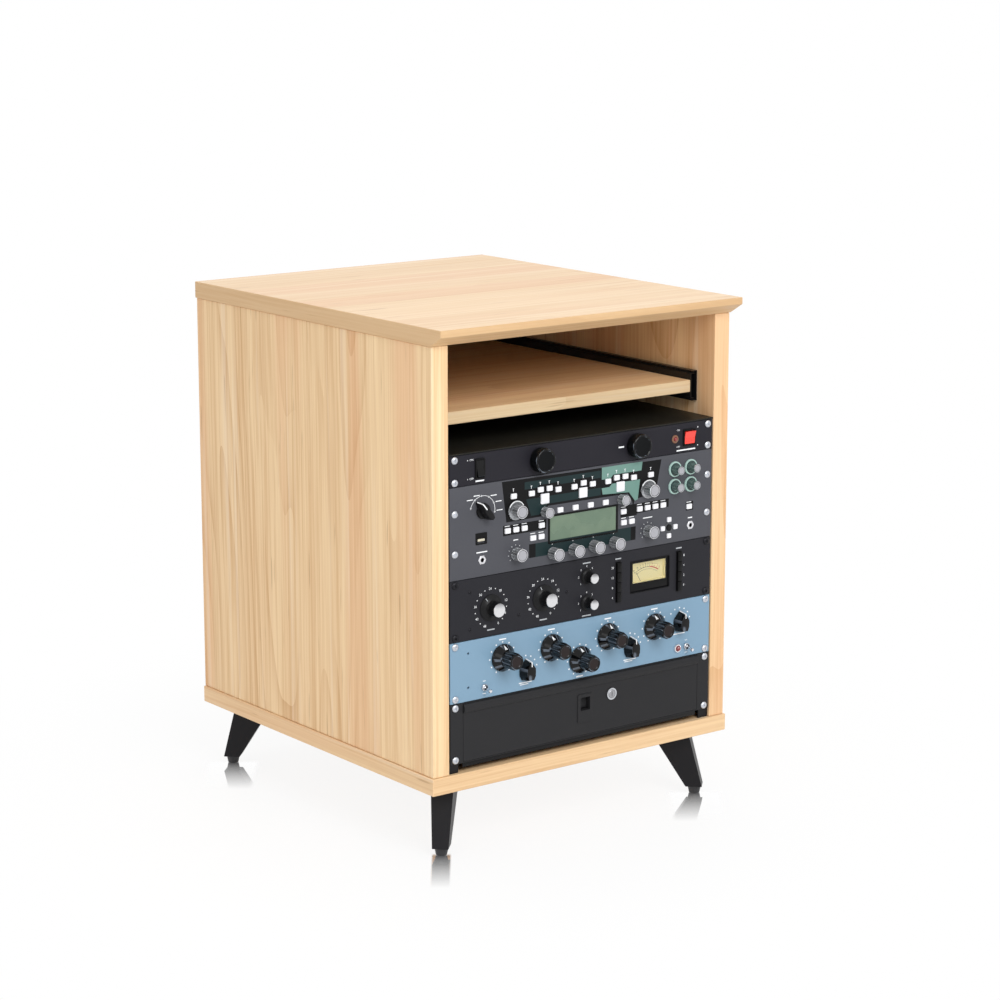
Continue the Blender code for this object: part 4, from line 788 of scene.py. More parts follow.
def facePlate(name, pockets=()):
    # a thick sheet with slots for the rack screws, and recesses given as (outline, depth)
    row, units, depth = gear[name]
    height, thick, first = units * rack["unit"], rack["plateThickness"], row * rack["unit"]
    bm, holes, wells = bmesh.new(), bmesh.new(), bmesh.new()
    block(bm, (2 * rack["plateHalf"], height - rack["plateGap"], thick), (0, -height / 2, -thick / 2))
    roundAbove(bm, -1e-6, 0.0005)
    for down in rack["screwRows"][units]:
        for side in (-1, 1):
            addTo(holes, plate(*rack["slot"], -0.01, 0.01, 4, (side * rack["screwColumn"], -down)))
    for shape, deep in pockets:
        addTo(holes, outlinePlate([(x, y + first) for x, y in shape], -deep, 0.01))
        if thick < deep < 0.01:
            addTo(wells, outlinePlate(shape, -deep, 0.01))
    place(name + "Plate", cut(bm, holes), name, faceMatrix(0, first), "cabinet", [name + "_unit"])
    caseBox(name, first, height, depth, wells)


def caseBox(name, first, height, depth, wells):
    # the folded case behind the plate: a tray with a lid that laps over its sides
    lidWidth, lidThickness, shorter = rack["lid"]
    top, bottom = -first - rack["caseInset"], -first - height + rack["caseInset"]
    middle = -rack["plateThickness"] - depth / 2
    size = (rack["caseWidth"], top - bottom - 0.0008, depth - 0.0002)
    bm = eased(size, (0, (top + bottom) / 2 - 0.0002, middle), 0.0007)
    if wells.verts:
        bm = cut(bm, wells)
    addTo(bm, eased((lidWidth, lidThickness, depth - shorter), (0, top - 0.0014, middle), 0.0005))
    place(name + "Case", bm, "case")


def buildRackScrews():
    pattern = screwHead(0.0055, 0.0024)
    groups = {"rackScrews": ("zinc", []), "blackRackScrews": ("blackScrew", [])}
    for name, (row, units, _) in gear.items():
        group = "blackRackScrews" if name == "compressor" else "rackScrews"
        for down in rack["screwRows"][units]:
            for side in (-1, 1):
                groups[group][1].append((side * rack["screwColumn"], row * rack["unit"] + down))
    for name, (look, spots) in groups.items():
        bm = bmesh.new()
        for i, (x, down) in enumerate(spots):
            lift = Matrix.Translation((0, 0, 0.0002)) @ Matrix.Rotation(1.7 * i, 4, "Z")
            addTo(bm, pattern.copy(), at(x, down) @ lift)
        place(name, bm, look)
    pattern.free()


# Printing on the faceplates. Shapes are flat at first and get their thickness in printed().

def inkShape(bm, points):
    bm.faces.new([bm.verts.new((x, -down, 0)) for x, down in points])


def inkDot(bm, x, down, radius=0.0006):
    bmesh.ops.create_circle(bm, cap_ends=True, segments=12, radius=radius, matrix=at(x, down))


def inkBar(bm, x, down, width, height, turn=0.0):
    matrix = at(x, down) @ Matrix.Rotation(turn, 4, "Z") @ Matrix.Diagonal((width, height, 1, 1))
    bmesh.ops.create_grid(bm, x_segments=1, y_segments=1, size=0.5, matrix=matrix)


def inkArc(bm, x, down, radius, width, first, last, steps=20):
    # angles in degrees clockwise from straight up
    angles = [math.radians(first + (last - first) * i / steps) for i in range(steps + 1)]
    outer = [(x + radius * math.sin(a), down - radius * math.cos(a)) for a in angles]
    inner = [(x + (radius - width) * math.sin(a), down - (radius - width) * math.cos(a)) for a in reversed(angles)]
    inkShape(bm, outer + inner)


def inkWords(bm, words, x, down, height):
    curve = bpy.data.curves.new("label", "FONT")
    curve.body = words
    curve.size = height * 1.4
    curve.align_x = curve.align_y = "CENTER"
    curve.resolution_u = 2
    obj = bpy.data.objects.new("label", curve)
    bpy.context.scene.collection.objects.link(obj)
    bpy.context.view_layer.update()
    mesh = bpy.data.meshes.new_from_object(obj.evaluated_get(bpy.context.evaluated_depsgraph_get()))
    mesh.transform(at(x, down))
    bm.from_mesh(mesh)
    bpy.data.objects.remove(obj)
    bpy.data.curves.remove(curve)
    bpy.data.meshes.remove(mesh)


def around(x, down, radius, count, first=-150.0, last=150.0):
    # places on an arc, with the angle of each
    for i in range(count):
        angle = math.radians(first + (last - first) * i / (count - 1))
        yield i, angle, x + radius * math.sin(angle), down - radius * math.cos(angle)


def printed(name, bm, look, layer=1, matrix=onFace):
    bmesh.ops.remove_doubles(bm, verts=bm.verts, dist=1e-6)
    bm.normal_update()
    for f in bm.faces:
        if f.normal.z < 0:
            f.normal_flip()
    place(name, pushUp(bm, 0.00003 * layer), look, matrix)


# Knobs and small fittings. Each is built about its own axis and then set on its shaft.

shaft = [(0, -0.009), (0.0026, -0.009), (0.0026, 0.0004)]


def fluted(bm, count, depth, low, high, sharp=1.0):
    for vert in bm.verts:
        radius = math.hypot(vert.co.x, vert.co.y)
        if low < vert.co.z < high and radius > 3 * depth:
            pull = depth * (0.5 + 0.5 * math.cos(count * math.atan2(vert.co.y, vert.co.x))) ** sharp
            vert.co.xy *= (radius - pull) / radius


def paintFaces(bm, index, test):
    for f in bm.faces:
        centre = f.calc_center_median()
        if test(math.hypot(centre.x, centre.y), centre.z):
            f.material_index = index


def strip(bm, start, end, width, thick):
    # a thin bar between two points, flat side up
    start, end = Vector(start), Vector(end)
    along = end - start
    matrix = Matrix.Translation((start + end) / 2) @ along.to_track_quat("X", "Z").to_matrix().to_4x4()
    matrix = matrix @ Matrix.Diagonal((along.length, width, thick, 1))
    bmesh.ops.create_cube(bm, size=1, matrix=matrix)


def setKnob(name, bm, look, x, down, turn=0.0, smooth=32):
    place(camelName(name), bm, look, faceMatrix(x, down, turn), name, [name], smooth)


def hexNut(radius, height, bore):
    corners = [math.radians(60 * i) for i in range(6)]
    nut = outlinePlate([(radius * math.cos(a), radius * math.sin(a)) for a in corners], 0, height)
    roundEdges(nut, nut.edges[:], 0.0002, 2)
    return cut(nut, disc(bore, -0.01, 0.01))


# Power conditioner

conditioner = {
    "middle": 0.022225,
    "lights": {"light_tube_left": -0.0836, "light_tube_right": 0.094},
    "capRadius": 0.0178,
    "capReach": 0.017,
    "tubeRadius": 0.0125,
    # x, width, height, how it is tilted at rest, finish
    "rockers": {
        "power_rocker": (-0.1887, 0.0118, 0.0225, -8, "gloss"),
        "outlet_rocker": (0.1966, 0.0192, 0.0186, 8, "redLens"),
    },
    "rockerGap": (0.0008, 0.0026),  # its opening is wider and higher by this
    "lampX": 0.169,
}


def rockerRim(x, down, width, height):
    # the raised frame round a rocker's opening
    wide, high = conditioner["rockerGap"]
    bm = plate(width + 0.0056, height + 0.0066, 0.0024, -0.001, 0.0018)
    roundAbove(bm, 0.001, 0.0006)
    bm = opened(bm, width + wide, height + high, 0.0004)
    bm.transform(at(x, down))
    return bm


def rockerBody(width, height, tilt):
    # a shallow V in profile, with eased edges
    half, depth, rim = height / 2, 0.007, 0.0016
    tip = rim + half * math.tan(math.radians(8))
    profile = [(-half * 0.9, -depth), (half * 0.9, -depth), (half, tip), (0, rim), (-half, tip)]
    bm = outlinePlate(profile, -width / 2, width / 2)
    bm.transform(Matrix(((0, 0, 1, 0), (1, 0, 0, 0), (0, 1, 0, 0), (0, 0, 0, 1))))
    roundEdges(bm, bm.edges[:], 0.0004, 2)
    bm.transform(Matrix.Rotation(math.radians(tilt), 4, "X"))
    return bm


def buildConditioner():
    s = conditioner
    down, (wide, high) = s["middle"], s["rockerGap"]
    rockers = s["rockers"].items()
    openings = [(roundedRect(w + wide, h + high, 0.0004, 2, (x, -down)), 0.01) for _, (x, w, h, *_) in rockers]
    openings += [(roundedRect(0.0262, 0.0262, 0.013, 8, (x, -down)), 0.01) for x in s["lights"].values()]
    facePlate("conditioner", openings)
    cap, reach, tube = s["capRadius"], s["capReach"], s["tubeRadius"]
    for name, x in s["lights"].items():
        bm = spun([
            (0, -0.11), (tube * 0.92, -0.11), (tube, -0.1092), (tube, 0.0004), (cap - 0.0012, 0.0004),
            (cap - 0.0004, 0.0012), (cap, 0.003), (cap, 0.006), (cap, reach - 0.0022), (cap - 0.0003, reach - 0.0012),
            (cap - 0.001, reach - 0.0004), (cap - 0.0018, reach), (cap * 0.86, reach), (cap * 0.83, reach - 0.0004),
            (cap * 0.8, reach - 0.001), (cap * 0.4, reach - 0.0014), (0, reach - 0.0015),
        ], 72)
        fluted(bm, 36, 0.0003, 0.0035, reach - 0.003)
        # the rim takes the gloss finish, whose painted highlight streaks draw a bright arc round the cap's face
        paintFaces(bm, 1, lambda r, z: r > cap * 0.79 and z > reach - 0.0021)
        setKnob(name, bm, "lamp gloss", x, down)
    rims = bmesh.new()
    for name, (x, width, height, tilt, look) in rockers:
        addTo(rims, rockerRim(x, down, width, height))
        setKnob(name, rockerBody(width, height, tilt), look, x, down, 0, 20)
    place("rockerRims", rims, "bezel")
    lamp = spun([(0, -0.001), (0.0062, -0.001), (0.0062, 0.0006), (0.0056, 0.0014), (0.0044, 0.0018),
                 (0.0034, 0.0014), (0.0031, 0)], 40)
    addTo(lamp, spun([(0, 0), (0.003, 0), (0.003, 0.0012), (0.0025, 0.0021), (0.0014, 0.0027), (0, 0.0029)], 24))
    paintFaces(lamp, 1, lambda r, z: r < 0.00295 and z > 0.0002)
    place("outletLamp", lamp, "copper darkRed", faceMatrix(s["lampX"], down))
    white = bmesh.new()
    left, right = s["rockers"]["power_rocker"][0], s["rockers"]["outlet_rocker"][0]
    for words, mark in (("ON", down - 0.0134), ("OFF", down + 0.0134)):
        inkWords(white, words, left - 0.0145, mark, 0.003)
        inkDot(white, left - 0.0212, mark, 0.0007)
        inkWords(white, words, s["lampX"] + 0.0065, down + math.copysign(0.0124, mark - down), 0.0026)
        inkDot(white, right + 0.0165, mark, 0.0009)
    inkBar(white, left, down + 0.0176, 0.015, 0.002)
    inkBar(white, s["lights"]["light_tube_right"] - 0.027, down, 0.01, 0.0022)
    inkBar(white, 0.1905, down + 0.018, 0.036, 0.002)
    printed("conditionerPrint", white, "whiteInk")


# Amp modeller. Places on its faceplate are millimetres below the top of the rack.

modeller = {
    "display": (-3.0, 126.5, 122.5, 37.0),
    "selector": (-183.9, 83.2),
    "knobKinds": {
        # radius, reach, ribs, and the radius of a foot ring
        "ring": (0.0093, 0.0165, 22, 0.0138), "small": (0.0075, 0.0135, 18, None),
        "plain": (0.0093, 0.0165, 22, None), "soft": (0.009, 0.0175, 22, None),
        "effect": (0.0062, 0.0165, 14, None),
    },
    "knobs": {
        "gain_knob": ("ring", -125.5, 90.5), "volume_knob": ("ring", 118.0, 90.5),
        "type_knob": ("small", -74.0, 99.0), "value_knob": ("small", 66.5, 99.0),
        "master_knob": ("plain", -125.5, 153.0), "browse_knob": ("plain", 118.0, 153.0),
        "soft_knob_1": ("soft", -59.7, 161.2), "soft_knob_2": ("soft", -22.0, 161.2),
        "soft_knob_3": ("soft", 15.7, 161.2), "soft_knob_4": ("soft", 53.4, 161.2),
    },
    "effectKnobs": (184.0, 79.8, 30.8, 25.8),  # their middle, and how far apart they are
    "jacks": {"instrumentJack": (-185.5, 153.5), "headphoneJack": (200.2, 155.1)},
    "port": (-186.5, 124.4),
    "portOpening": (0.0136, 0.0072, 0.0006, 2),
    "pad": (158.7, 153.5, 12.2),
    "smallButton": (0.0098, 0.0076),
    "bigButton": (0.0145, 0.0145),
    "padButton": (0.0074, 0.0072),
    "buttonRise": 0.0022,
    "bigButtons": ((-74.0, 79.8), (-4.4, 79.8), (65.2, 79.8)),
    "blackFields": (
        ((-150.2, 46.6), (143.4, 49.2), (133, 97.2), (93.5, 102.6), (90.1, 112.7), (88.0, 104.4), (79.9, 92.3),
         (-67.3, 91.3), (-80.4, 105.1), (-142.2, 105.7)),
        ((-148, 110), (-70.6, 110), (-70.6, 124.8), (-148, 124.8)),
        ((66.3, 109.5), (158.3, 109.5), (158.3, 122.0), (97.0, 124.3), (97.0, 126.5), (66.3, 126.5)),
        ((-101.7, 143), (-90.0, 143), (-90.0, 163), (-101.7, 163)),
        ((86.0, 143), (95.3, 143), (95.3, 163), (86.0, 163)),
        ((192, 119), (206, 119), (206, 132.5), (192, 132.5)),
    ),
    "tealFields": (
        ((-109.8, 51.9), (29.1, 51.9), (29.1, 62.6), (14.5, 62.6), (11.0, 59.0), (-18.0, 59.0), (-21.5, 62.6),
         (-45.0, 62.6), (-48.5, 59.0), (-83.0, 59.0), (-87.0, 62.6), (-109.8, 62.6)),
        ((-107, 77.0), (29.1, 77.0), (29.1, 88.2), (-68.0, 88.2), (-83.5, 102.0), (-98.0, 102.0)),
        ((-90, 143), (86, 143), (86, 163), (-90, 163)),
    ),
    "greenFields": (
        ((30.8, 48), (107.2, 48), (105.2, 61.0), (52.0, 61.0), (47.0, 65.9), (30.8, 65.9)),
        ((30.8, 78.3), (45.0, 78.3), (50.0, 74.0), (103.0, 74.0), (98.7, 103.3), (93.5, 104.7), (82.0, 90.6),
         (32.5, 87.8)),
    ),
}


def mm(*values):
    return [value / 1000 for value in values]


def modellerButtons():
    # x and down in millimetres of the small white buttons
    rows = [(-129.8, 69.3), (122.7, 69.3), (197.4, 126.4), (-79.7, 117.8), (71.4, 117.8)]
    rows += [(-97.7, 69.3), (-81.7, 65.8), (-65.7, 65.8), (-49.7, 69.3)]
    rows += [(-20.3, 69.3), (-3.5, 65.8), (13.3, 69.3)]
    rows += [(42.0, 69.3), (58.1, 65.8), (74.2, 65.8), (90.3, 69.3)]
    rows += [(-46.0 + i * 27.9, 99.8) for i in range(4)]
    rows += [(-140.5 + i * 15, 117.8) for i in range(3)]
    rows += [(102.0 + i * 15, 117.8) for i in range(4)]
    rows += [(-95.1, 134.2), (-80.1, 134.2), (72.1, 134.2), (87.1, 134.2)]
    return rows


def ribbedKnob(radius, reach, ribs, foot):
    # a clear ribbed sleeve over a core, closed by a turned metal cap
    low, top, wall = 0.0008, reach - 0.0018, radius * 0.8
    bm = spun([(wall, low), (radius * 0.98, low), (radius, low + 0.0004), (radius, low + 0.0012),
               (radius, top - 0.001), (radius * 0.99, top), (wall, top), (wall, low)], ribs * 4)
    fluted(bm, ribs, 0.00055, low + 0.0006, top - 0.0004)
    paintFaces(bm, 1, lambda r, z: True)
    if foot:
        ring = spun([(wall, 0.0003), (foot - 0.0004, 0.0003), (foot, 0.0007), (foot, 0.0018),
                     (foot - 0.0005, 0.0022), (radius + 0.001, 0.0024), (wall, 0.0024), (wall, 0.0003)], 64)
        addTo(bm, ring, index=1)
    core = spun([*shaft, (radius * 0.62, 0.0004), (radius * 0.62, 0.001), (radius * 0.42, 0.0022),
                 (radius * 0.42, top - 0.003), (radius * 0.62, top - 0.0005), (radius * 0.62, top), (0, top)], 40)
    addTo(bm, core, index=2)
    cap = spun([(0, top + 0.0001), (radius * 0.97, top + 0.0001), (radius, top + 0.0004), (radius, reach - 0.0005),
                (radius * 0.97, reach - 0.0001), (radius * 0.93, reach), (radius * 0.89, reach - 0.0001),
                (radius * 0.86, reach - 0.0006), (radius * 0.82, reach - 0.0007), (radius * 0.79, reach - 0.0003),
                (radius * 0.4, reach - 0.0003), (0, reach - 0.0003)], 64)
    paintFaces(cap, 2, lambda r, z: r > radius * 0.795 and z > reach - 0.001)
    paintFaces(cap, 3, lambda r, z: r > radius * 0.88)
    return addTo(bm, cap)


def buildSelector():
    x, down = mm(*modeller["selector"])
    nose, tail, half = 0.0184, 0.0148, 0.007
    outline = [(-half * 0.55, -tail), (half * 0.55, -tail), (half, -tail * 0.55), (half, half * 0.6),
               (half * 0.22, nose), (-half * 0.22, nose), (-half, half * 0.6), (-half, -tail * 0.55)]
    bm = outlinePlate(outline, 0.0006, 0.016)
    bmesh.ops.scale(bm, vec=(0.62, 0.92, 1), verts=[v for v in bm.verts if v.co.z > 0.01])
    roundEdges(bm, bm.edges[:], 0.0009, 3)
    addTo(bm, spun([*shaft[:2], (0.0026, 0.0006), (0.0113, 0.0006), (0.0115, 0.0012), (0.0108, 0.004),
                    (0, 0.0042)], 48))
    line = bmesh.new()
    strip(line, (0, 0.006, 0.01602), (0, nose * 0.9, 0.01602), 0.0017, 0.0002)
    strip(line, (0, nose * 0.915, 0.0158), (0, nose * 0.985, 0.003), 0.0017, 0.0005)
    setKnob("selector_knob", addTo(bm, line, index=1), "satin whiteInk", x, down, 40)


def buildModellerKnobs():
    s = modeller
    arcs = bmesh.new()
    for name, (kind, *spot) in s["knobs"].items():
        x, down = mm(*spot)
        setKnob(name, ribbedKnob(*s["knobKinds"][kind]), "silver clear core bright", x, down)
        if kind == "ring":
            inkArc(arcs, x, down, 0.0143, 0.0013, -62, 62, 28)
    printed("ringArcs", arcs, "whiteInk", 24, faceMatrix(0, 0, 0, 0.002))
    x, down, across, along = mm(*s["effectKnobs"])
    effects, collars = bmesh.new(), bmesh.new()
    for sx in (-0.5, 0.5):
        for sy in (-0.5, 0.5):
            here = at(x + sx * across, down + sy * along)
            addTo(effects, ribbedKnob(*s["knobKinds"]["effect"]), here)
            collar = spun([(0, 0), (0.0114, 0), (0.0117, 0.0004), (0.0117, 0.0022), (0.0113, 0.0029),
                           (0.0104, 0.0031), (0.0095, 0.0028), (0.009, 0.002), (0.0074, 0.0016), (0, 0.0016)], 48)
            paintFaces(collar, 1, lambda r, z: z > 0.0012 and r < 0.0093)
            addTo(collars, collar, here)
    place("effectKnobs", effects, "silver greenClear greenCore bright")
    place("effectCollars", collars, "mint greenCore")


def buildModellerButtons():
    s = modeller
    x, down, pitch = s["pad"]
    buttons = [(spot, s["smallButton"]) for spot in modellerButtons()]
    buttons += [(spot, s["bigButton"]) for spot in s["bigButtons"]]
    buttons += [((x, down - pitch), s["padButton"]), ((x, down + pitch), s["padButton"]),
                ((x + pitch, down), s["padButton"]), ((x - pitch, down), s["padButton"])]
    bm = bmesh.new()
    for spot, size in buttons:
        addTo(bm, keycap(size, s["buttonRise"]), at(*mm(*spot)))
    place("whiteButtons", bm, "white")
    ring = spun([(0.0056, 0), (0.0056, 0.0008), (0.0066, 0.001), (0.0076, 0.0008), (0.0076, 0), (0.0056, 0)], 48)
    place("padRing", ring, "core", faceMatrix(*mm(x, down)))
    place("padCentre", keycap((0.0088, 0.0088), s["buttonRise"], 0.004), "satin", faceMatrix(*mm(x, down)))


def buildModellerPrint():
    s = modeller
    for layer, group, ink in ((1, "black", "blackInk"), (2, "teal", "tealInk"), (3, "green", "greenInk")):
        bm = bmesh.new()
        for field in s[group + "Fields"]:
            inkShape(bm, [mm(*point) for point in field])
        printed("modeller" + group.title() + "Fields", bm, ink, layer)
    white = bmesh.new()
    for x, down in [mm(*spot) for spot in modellerButtons()]:
        if down < 0.07:
            inkBar(white, x, down - 0.0085, 0.0008, 0.0036)
            inkBar(white, x, down - 0.0105, 0.0028, 0.0008)
        elif down > 0.11:
            inkBar(white, x, down - 0.0064, 0.009, 0.001)
        else:
            inkDot(white, x, down + 0.0066)
    for name, (kind, *spot) in s["knobs"].items():
        x, down = mm(*spot)
        if kind == "plain":
            inkBar(white, x, down - 0.02, 0.0085 if name == "master_knob" else 0.0175, 0.0014)
            for _, angle, px, pd in around(x, down, 0.0128, 9, -130, 130):
                inkBar(white, px, pd, 0.0007, 0.0016, -angle)
        elif kind == "small":
            inkBar(white, x, down - 0.0118, 0.009, 0.0012)
        elif kind == "soft":
            inkDot(white, x, down - 0.013, 0.0007)
    x, down = mm(*s["selector"])
    inkArc(white, x, down, 0.0218, 0.0007, -80, 105, 40)
    for i, angle, px, pd in around(x, down, 0.0215, 6, -75, 100):
        inkDot(white, px, pd, 0.0013)
        if i > 0:
            inkBar(white, px + 0.0085 * math.copysign(1, math.sin(angle)), pd - 0.0012, 0.0105, 0.0013)
    for spot, width in zip(s["jacks"].values(), (0.019, 0.0085)):
        x, down = mm(*spot)
        inkBar(white, x, down - 0.0112, width, 0.0016)
    x, down = mm(*s["port"])
    inkBar(white, x, down - 0.0058, 0.006, 0.0018)
    printed("modellerPrint", white, "whiteInk", 4)


def buildModellerFittings():
    s = modeller
    x, down, width, height = mm(*s["display"])
    bezel = plate(0.129, 0.0422, 0.0015, 0.00002, 0.0007, 2)
    roundAbove(bezel, 0.0005, 0.0003)
    place("displayBezel", opened(bezel, width, height, 0.001, 2), "bezel", faceMatrix(x, down))
    panel = plate(width - 0.0004, height - 0.0004, 0.0008, -0.0011, -0.0004, 2)
    place("displayPanel", panel, "display", faceMatrix(x, down))
    for name, spot in s["jacks"].items():
        matrix = faceMatrix(*mm(*spot))
        ring = spun([(0.003, 0.0001), (0.003, 0.0014), (0.0034, 0.002), (0.0054, 0.002), (0.006, 0.0014),
                     (0.006, 0.0001), (0.003, 0.0001)], 48)
        place(name, addTo(hexNut(0.007, 0.001, 0.004), ring), "bright", matrix)
        well = spun([(0, -0.002), (0.0032, -0.002), (0.0032, 0.001), (0.0028, 0.001), (0.0028, -0.0018),
                     (0, -0.0018)], 32)
        place(name + "Well", well, "satin", matrix)
    matrix = faceMatrix(*mm(*s["port"]))
    port = plate(0.02, 0.0168, 0.0012, 0.00003, 0.0005, 2, (0, 0.0016))
    place("usbPort", opened(port, *s["portOpening"], centre=(0, -0.0012)), "bezel", matrix)
    place("usbTongue", eased((0.0122, 0.0032, 0.0022), (0, -0.0004, -0.0008), 0.0003), "ivory", matrix)


def buildModeller():
    s = modeller
    x, down, width, height = mm(*s["display"])
    px, pd = mm(*s["port"])
    pockets = [(roundedRect(width, height, 0.002, 2, (x, -down)), 0.0012),
               (roundedRect(*s["portOpening"], (px, -pd - 0.0012)), 0.0022)]
    for spot in s["jacks"].values():
        x, down = mm(*spot)
        pockets.append((roundedRect(0.0064, 0.0064, 0.0031, 8, (x, -down)), 0.0022))
    facePlate("modeller", pockets)
    buildModellerPrint()
    buildModellerButtons()
    buildModellerFittings()
    buildModellerKnobs()
    buildSelector()


# Compressor

compressor = {
    "largeKnob": (0.0195, 0.0104, 0.0205, 26),  # radius of the skirt and of the cap, reach, ribs
    "smallKnob": (0.0118, 0.0076, 0.019, 20),
    "largeKnobs": {"input_knob": (-0.1696, 0.225, -35), "output_knob": (-0.0756, 0.225, -20)},
    "smallKnobs": {"attack_knob": (0.004, 0.205, 25), "release_knob": (0.004, 0.2439, 40)},
    "meter": (0.1238, 0.2194, 0.0729, 0.0462, 0.0088),  # the opening, and how far the dial lies behind the faceplate
    "dial": (0.0635, 0.03, 0.0048, 0.0012),  # its size, how far above the opening's middle, the surround's setback
    "needle": -31,
    "scale": {-34: "20", -24: "10", -16: "7", -9: "5", -3: "3", 3: "2", 8: "1", 14: "0", 21: "1", 28: "2", 34: "3"},
    # x, which way its numbers lie, and the numbers
    "buttonColumns": ((0.0629, -1, ("20", "12", "8", "4")), (0.1792, 1, ("8", "4", "2", "0"))),
    "buttonPitch": 0.015,
    "middle": 0.22225,
    "screws": ((-0.2067, 0.1975), (-0.2067, 0.2517), (-0.1198, 0.2431), (-0.033, 0.2225)),
}


def compressorKnob(skirt, cap, reach, ribs):
    bm = spun([*shaft, (skirt - 0.0003, 0.0004), (skirt, 0.0007), (skirt - 0.0001, 0.0012), (skirt - 0.002, 0.0018),
               (cap + 0.003, 0.0032), (cap + 0.001, 0.0048), (cap + 0.0003, 0.0068), (cap, 0.0078),
               (cap * 0.99, reach - 0.0022), (cap * 0.975, reach - 0.0014), (cap * 0.96, reach - 0.0012),
               (cap * 0.955, reach - 0.0004), (cap * 0.93, reach), (cap * 0.5, reach - 0.0001), (0, reach - 0.0001)],
              ribs * 4)
    fluted(bm, ribs, 0.0005, 0.007, reach - 0.0016)
    paintFaces(bm, 1, lambda r, z: z > reach - 0.0013)
    line = bmesh.new()
    strip(line, (0, cap + 0.0032, 0.0031), (0, skirt - 0.0014, 0.0017), 0.0009, 0.0003)
    return addTo(bm, line, index=2)


def buildMeter():
    s = compressor
    x, down, width, height, depth = s["meter"]
    dialWidth, dialHeight, up, setback = s["dial"]
    opening = faceMatrix(x, down)
    bm = plate(width + 0.0024, height + 0.0024, 0.0016, 0, 0.0006)
    roundAbove(bm, 0.0005, 0.0003, 3)
    place("meterFrame", opened(bm, width, height, 0.0008, 3), "bezel", opening)
    # the meter's own front: a black surround, and its dial at the bottom of a pale tray
    front = plate(width - 0.0004, height - 0.0004, 0.0008, -depth, -setback, 2)
    front = opened(front, dialWidth, dialHeight, 0.0012, 3, -0.02, (0, up))
    roundAbove(front, -setback - 0.0001, 0.0003)
    place("meterSurround", front, "bezel", opening)
    level = -depth + 0.0008
    centre = faceMatrix(x, down - up)
    tray = plate(dialWidth - 0.0001, dialHeight - 0.0001, 0.0012, level - 0.0006, -setback - 0.0016, 3)
    place("meterDial", opened(tray, dialWidth - 0.001, dialHeight - 0.001, 0.001, 3, level), "paper", centre)
    black, red = bmesh.new(), bmesh.new()
    low, radius, zero = 0.0345, 0.04, 8  # the needle's pivot is this far below the dial's middle
    inkArc(black, 0, low, radius, 0.0005, -34, zero, 28)
    inkArc(red, 0, low, radius + 0.0005, 0.0015, zero, 34, 20)
    for angle, words in s["scale"].items():
        a = math.radians(angle)
        ink = red if angle > zero else black
        inkBar(ink, (radius + 0.0012) * math.sin(a), low - (radius + 0.0012) * math.cos(a), 0.0004, 0.0024, -a)
        inkWords(ink, words, (radius + 0.0042) * math.sin(a), low - (radius + 0.0042) * math.cos(a), 0.0024)
    inkArc(black, 0, low, radius - 0.0034, 0.0003, -34, 34, 30)
    printed("meterScale", black, "blackInk", 1, faceMatrix(x, down - up, 0, level))
    printed("meterRed", red, "redInk", 1, faceMatrix(x, down - up, 0, level))
    needle = bmesh.new()
    a = math.radians(s["needle"])
    ends = [(r * math.sin(a), -low + r * math.cos(a), level + 0.0006) for r in (0.0235, radius * 0.98)]
    strip(needle, *ends, 0.0005, 0.0002)
    place("meterNeedle", needle, "blackInk", centre)
    glass = plate(dialWidth - 0.0002, dialHeight - 0.0002, 0.001, -setback - 0.0014, -setback - 0.0008, 2)
    place("meterGlass", glass, "glass", centre)


def buildCompressor():
    s = compressor
    x, down, width, height, depth = s["meter"]
    facePlate("compressor", [(roundedRect(width, height, 0.0008, 3, (x, -down)), depth)])
    buildMeter()
    buttons, white, grey, wells, screws = [bmesh.new() for _ in range(5)]
    for size in ("largeKnob", "smallKnob"):
        for name, (x, down, turn) in s[size + "s"].items():
            setKnob(name, compressorKnob(*s[size]), "satin cap dimInk", x, down, -turn)
    for column, side, numbers in s["buttonColumns"]:
        block(wells, (0.0092, 4 * s["buttonPitch"] + 0.0012, 0.0006), (column, -s["middle"], 0.0002))
        for i, words in enumerate(numbers):
            down = s["middle"] + (i - 1.5) * s["buttonPitch"]
            addTo(buttons, keycap((0.008, 0.0142), 0.004, 0.0005, 0.0005), at(column, down))
            inkWords(white, words, column + side * 0.0104, down, 0.0034)
        inkBar(grey, column, s["middle"] - 0.035, 0.011, 0.0018)
    place("selectButtons", buttons, "bezel")
    place("selectWells", wells, "bezel")
    for spot in s["screws"]:
        addTo(screws, screwHead(0.0024, 0.0012), at(*spot))
    place("plateScrews", screws, "blackScrew")
    for x, down, _ in s["largeKnobs"].values():
        for i, _, px, pd in around(x, down, 0.0278, 17, -157, 152):
            if i % 2:
                inkDot(white, px, pd, 0.0008)
            else:
                inkWords(white, str(48 - i // 2 * 6), px, pd, 0.0037)
        inkBar(grey, x, down + 0.0318, 0.013, 0.0018)
    for x, down, _ in s["smallKnobs"].values():
        for i, _, px, pd in around(x, down, 0.015, 7, -133, 133):
            inkWords(white, str(1 + i), px, pd, 0.003)
    inkBar(grey, 0.004, 0.185, 0.0145, 0.0018)
    inkBar(grey, 0.004, 0.2632, 0.0165, 0.0018)
    printed("compressorPrint", white, "whiteInk")
    printed("compressorLabels", grey, "dimInk", 2)


# Equaliser

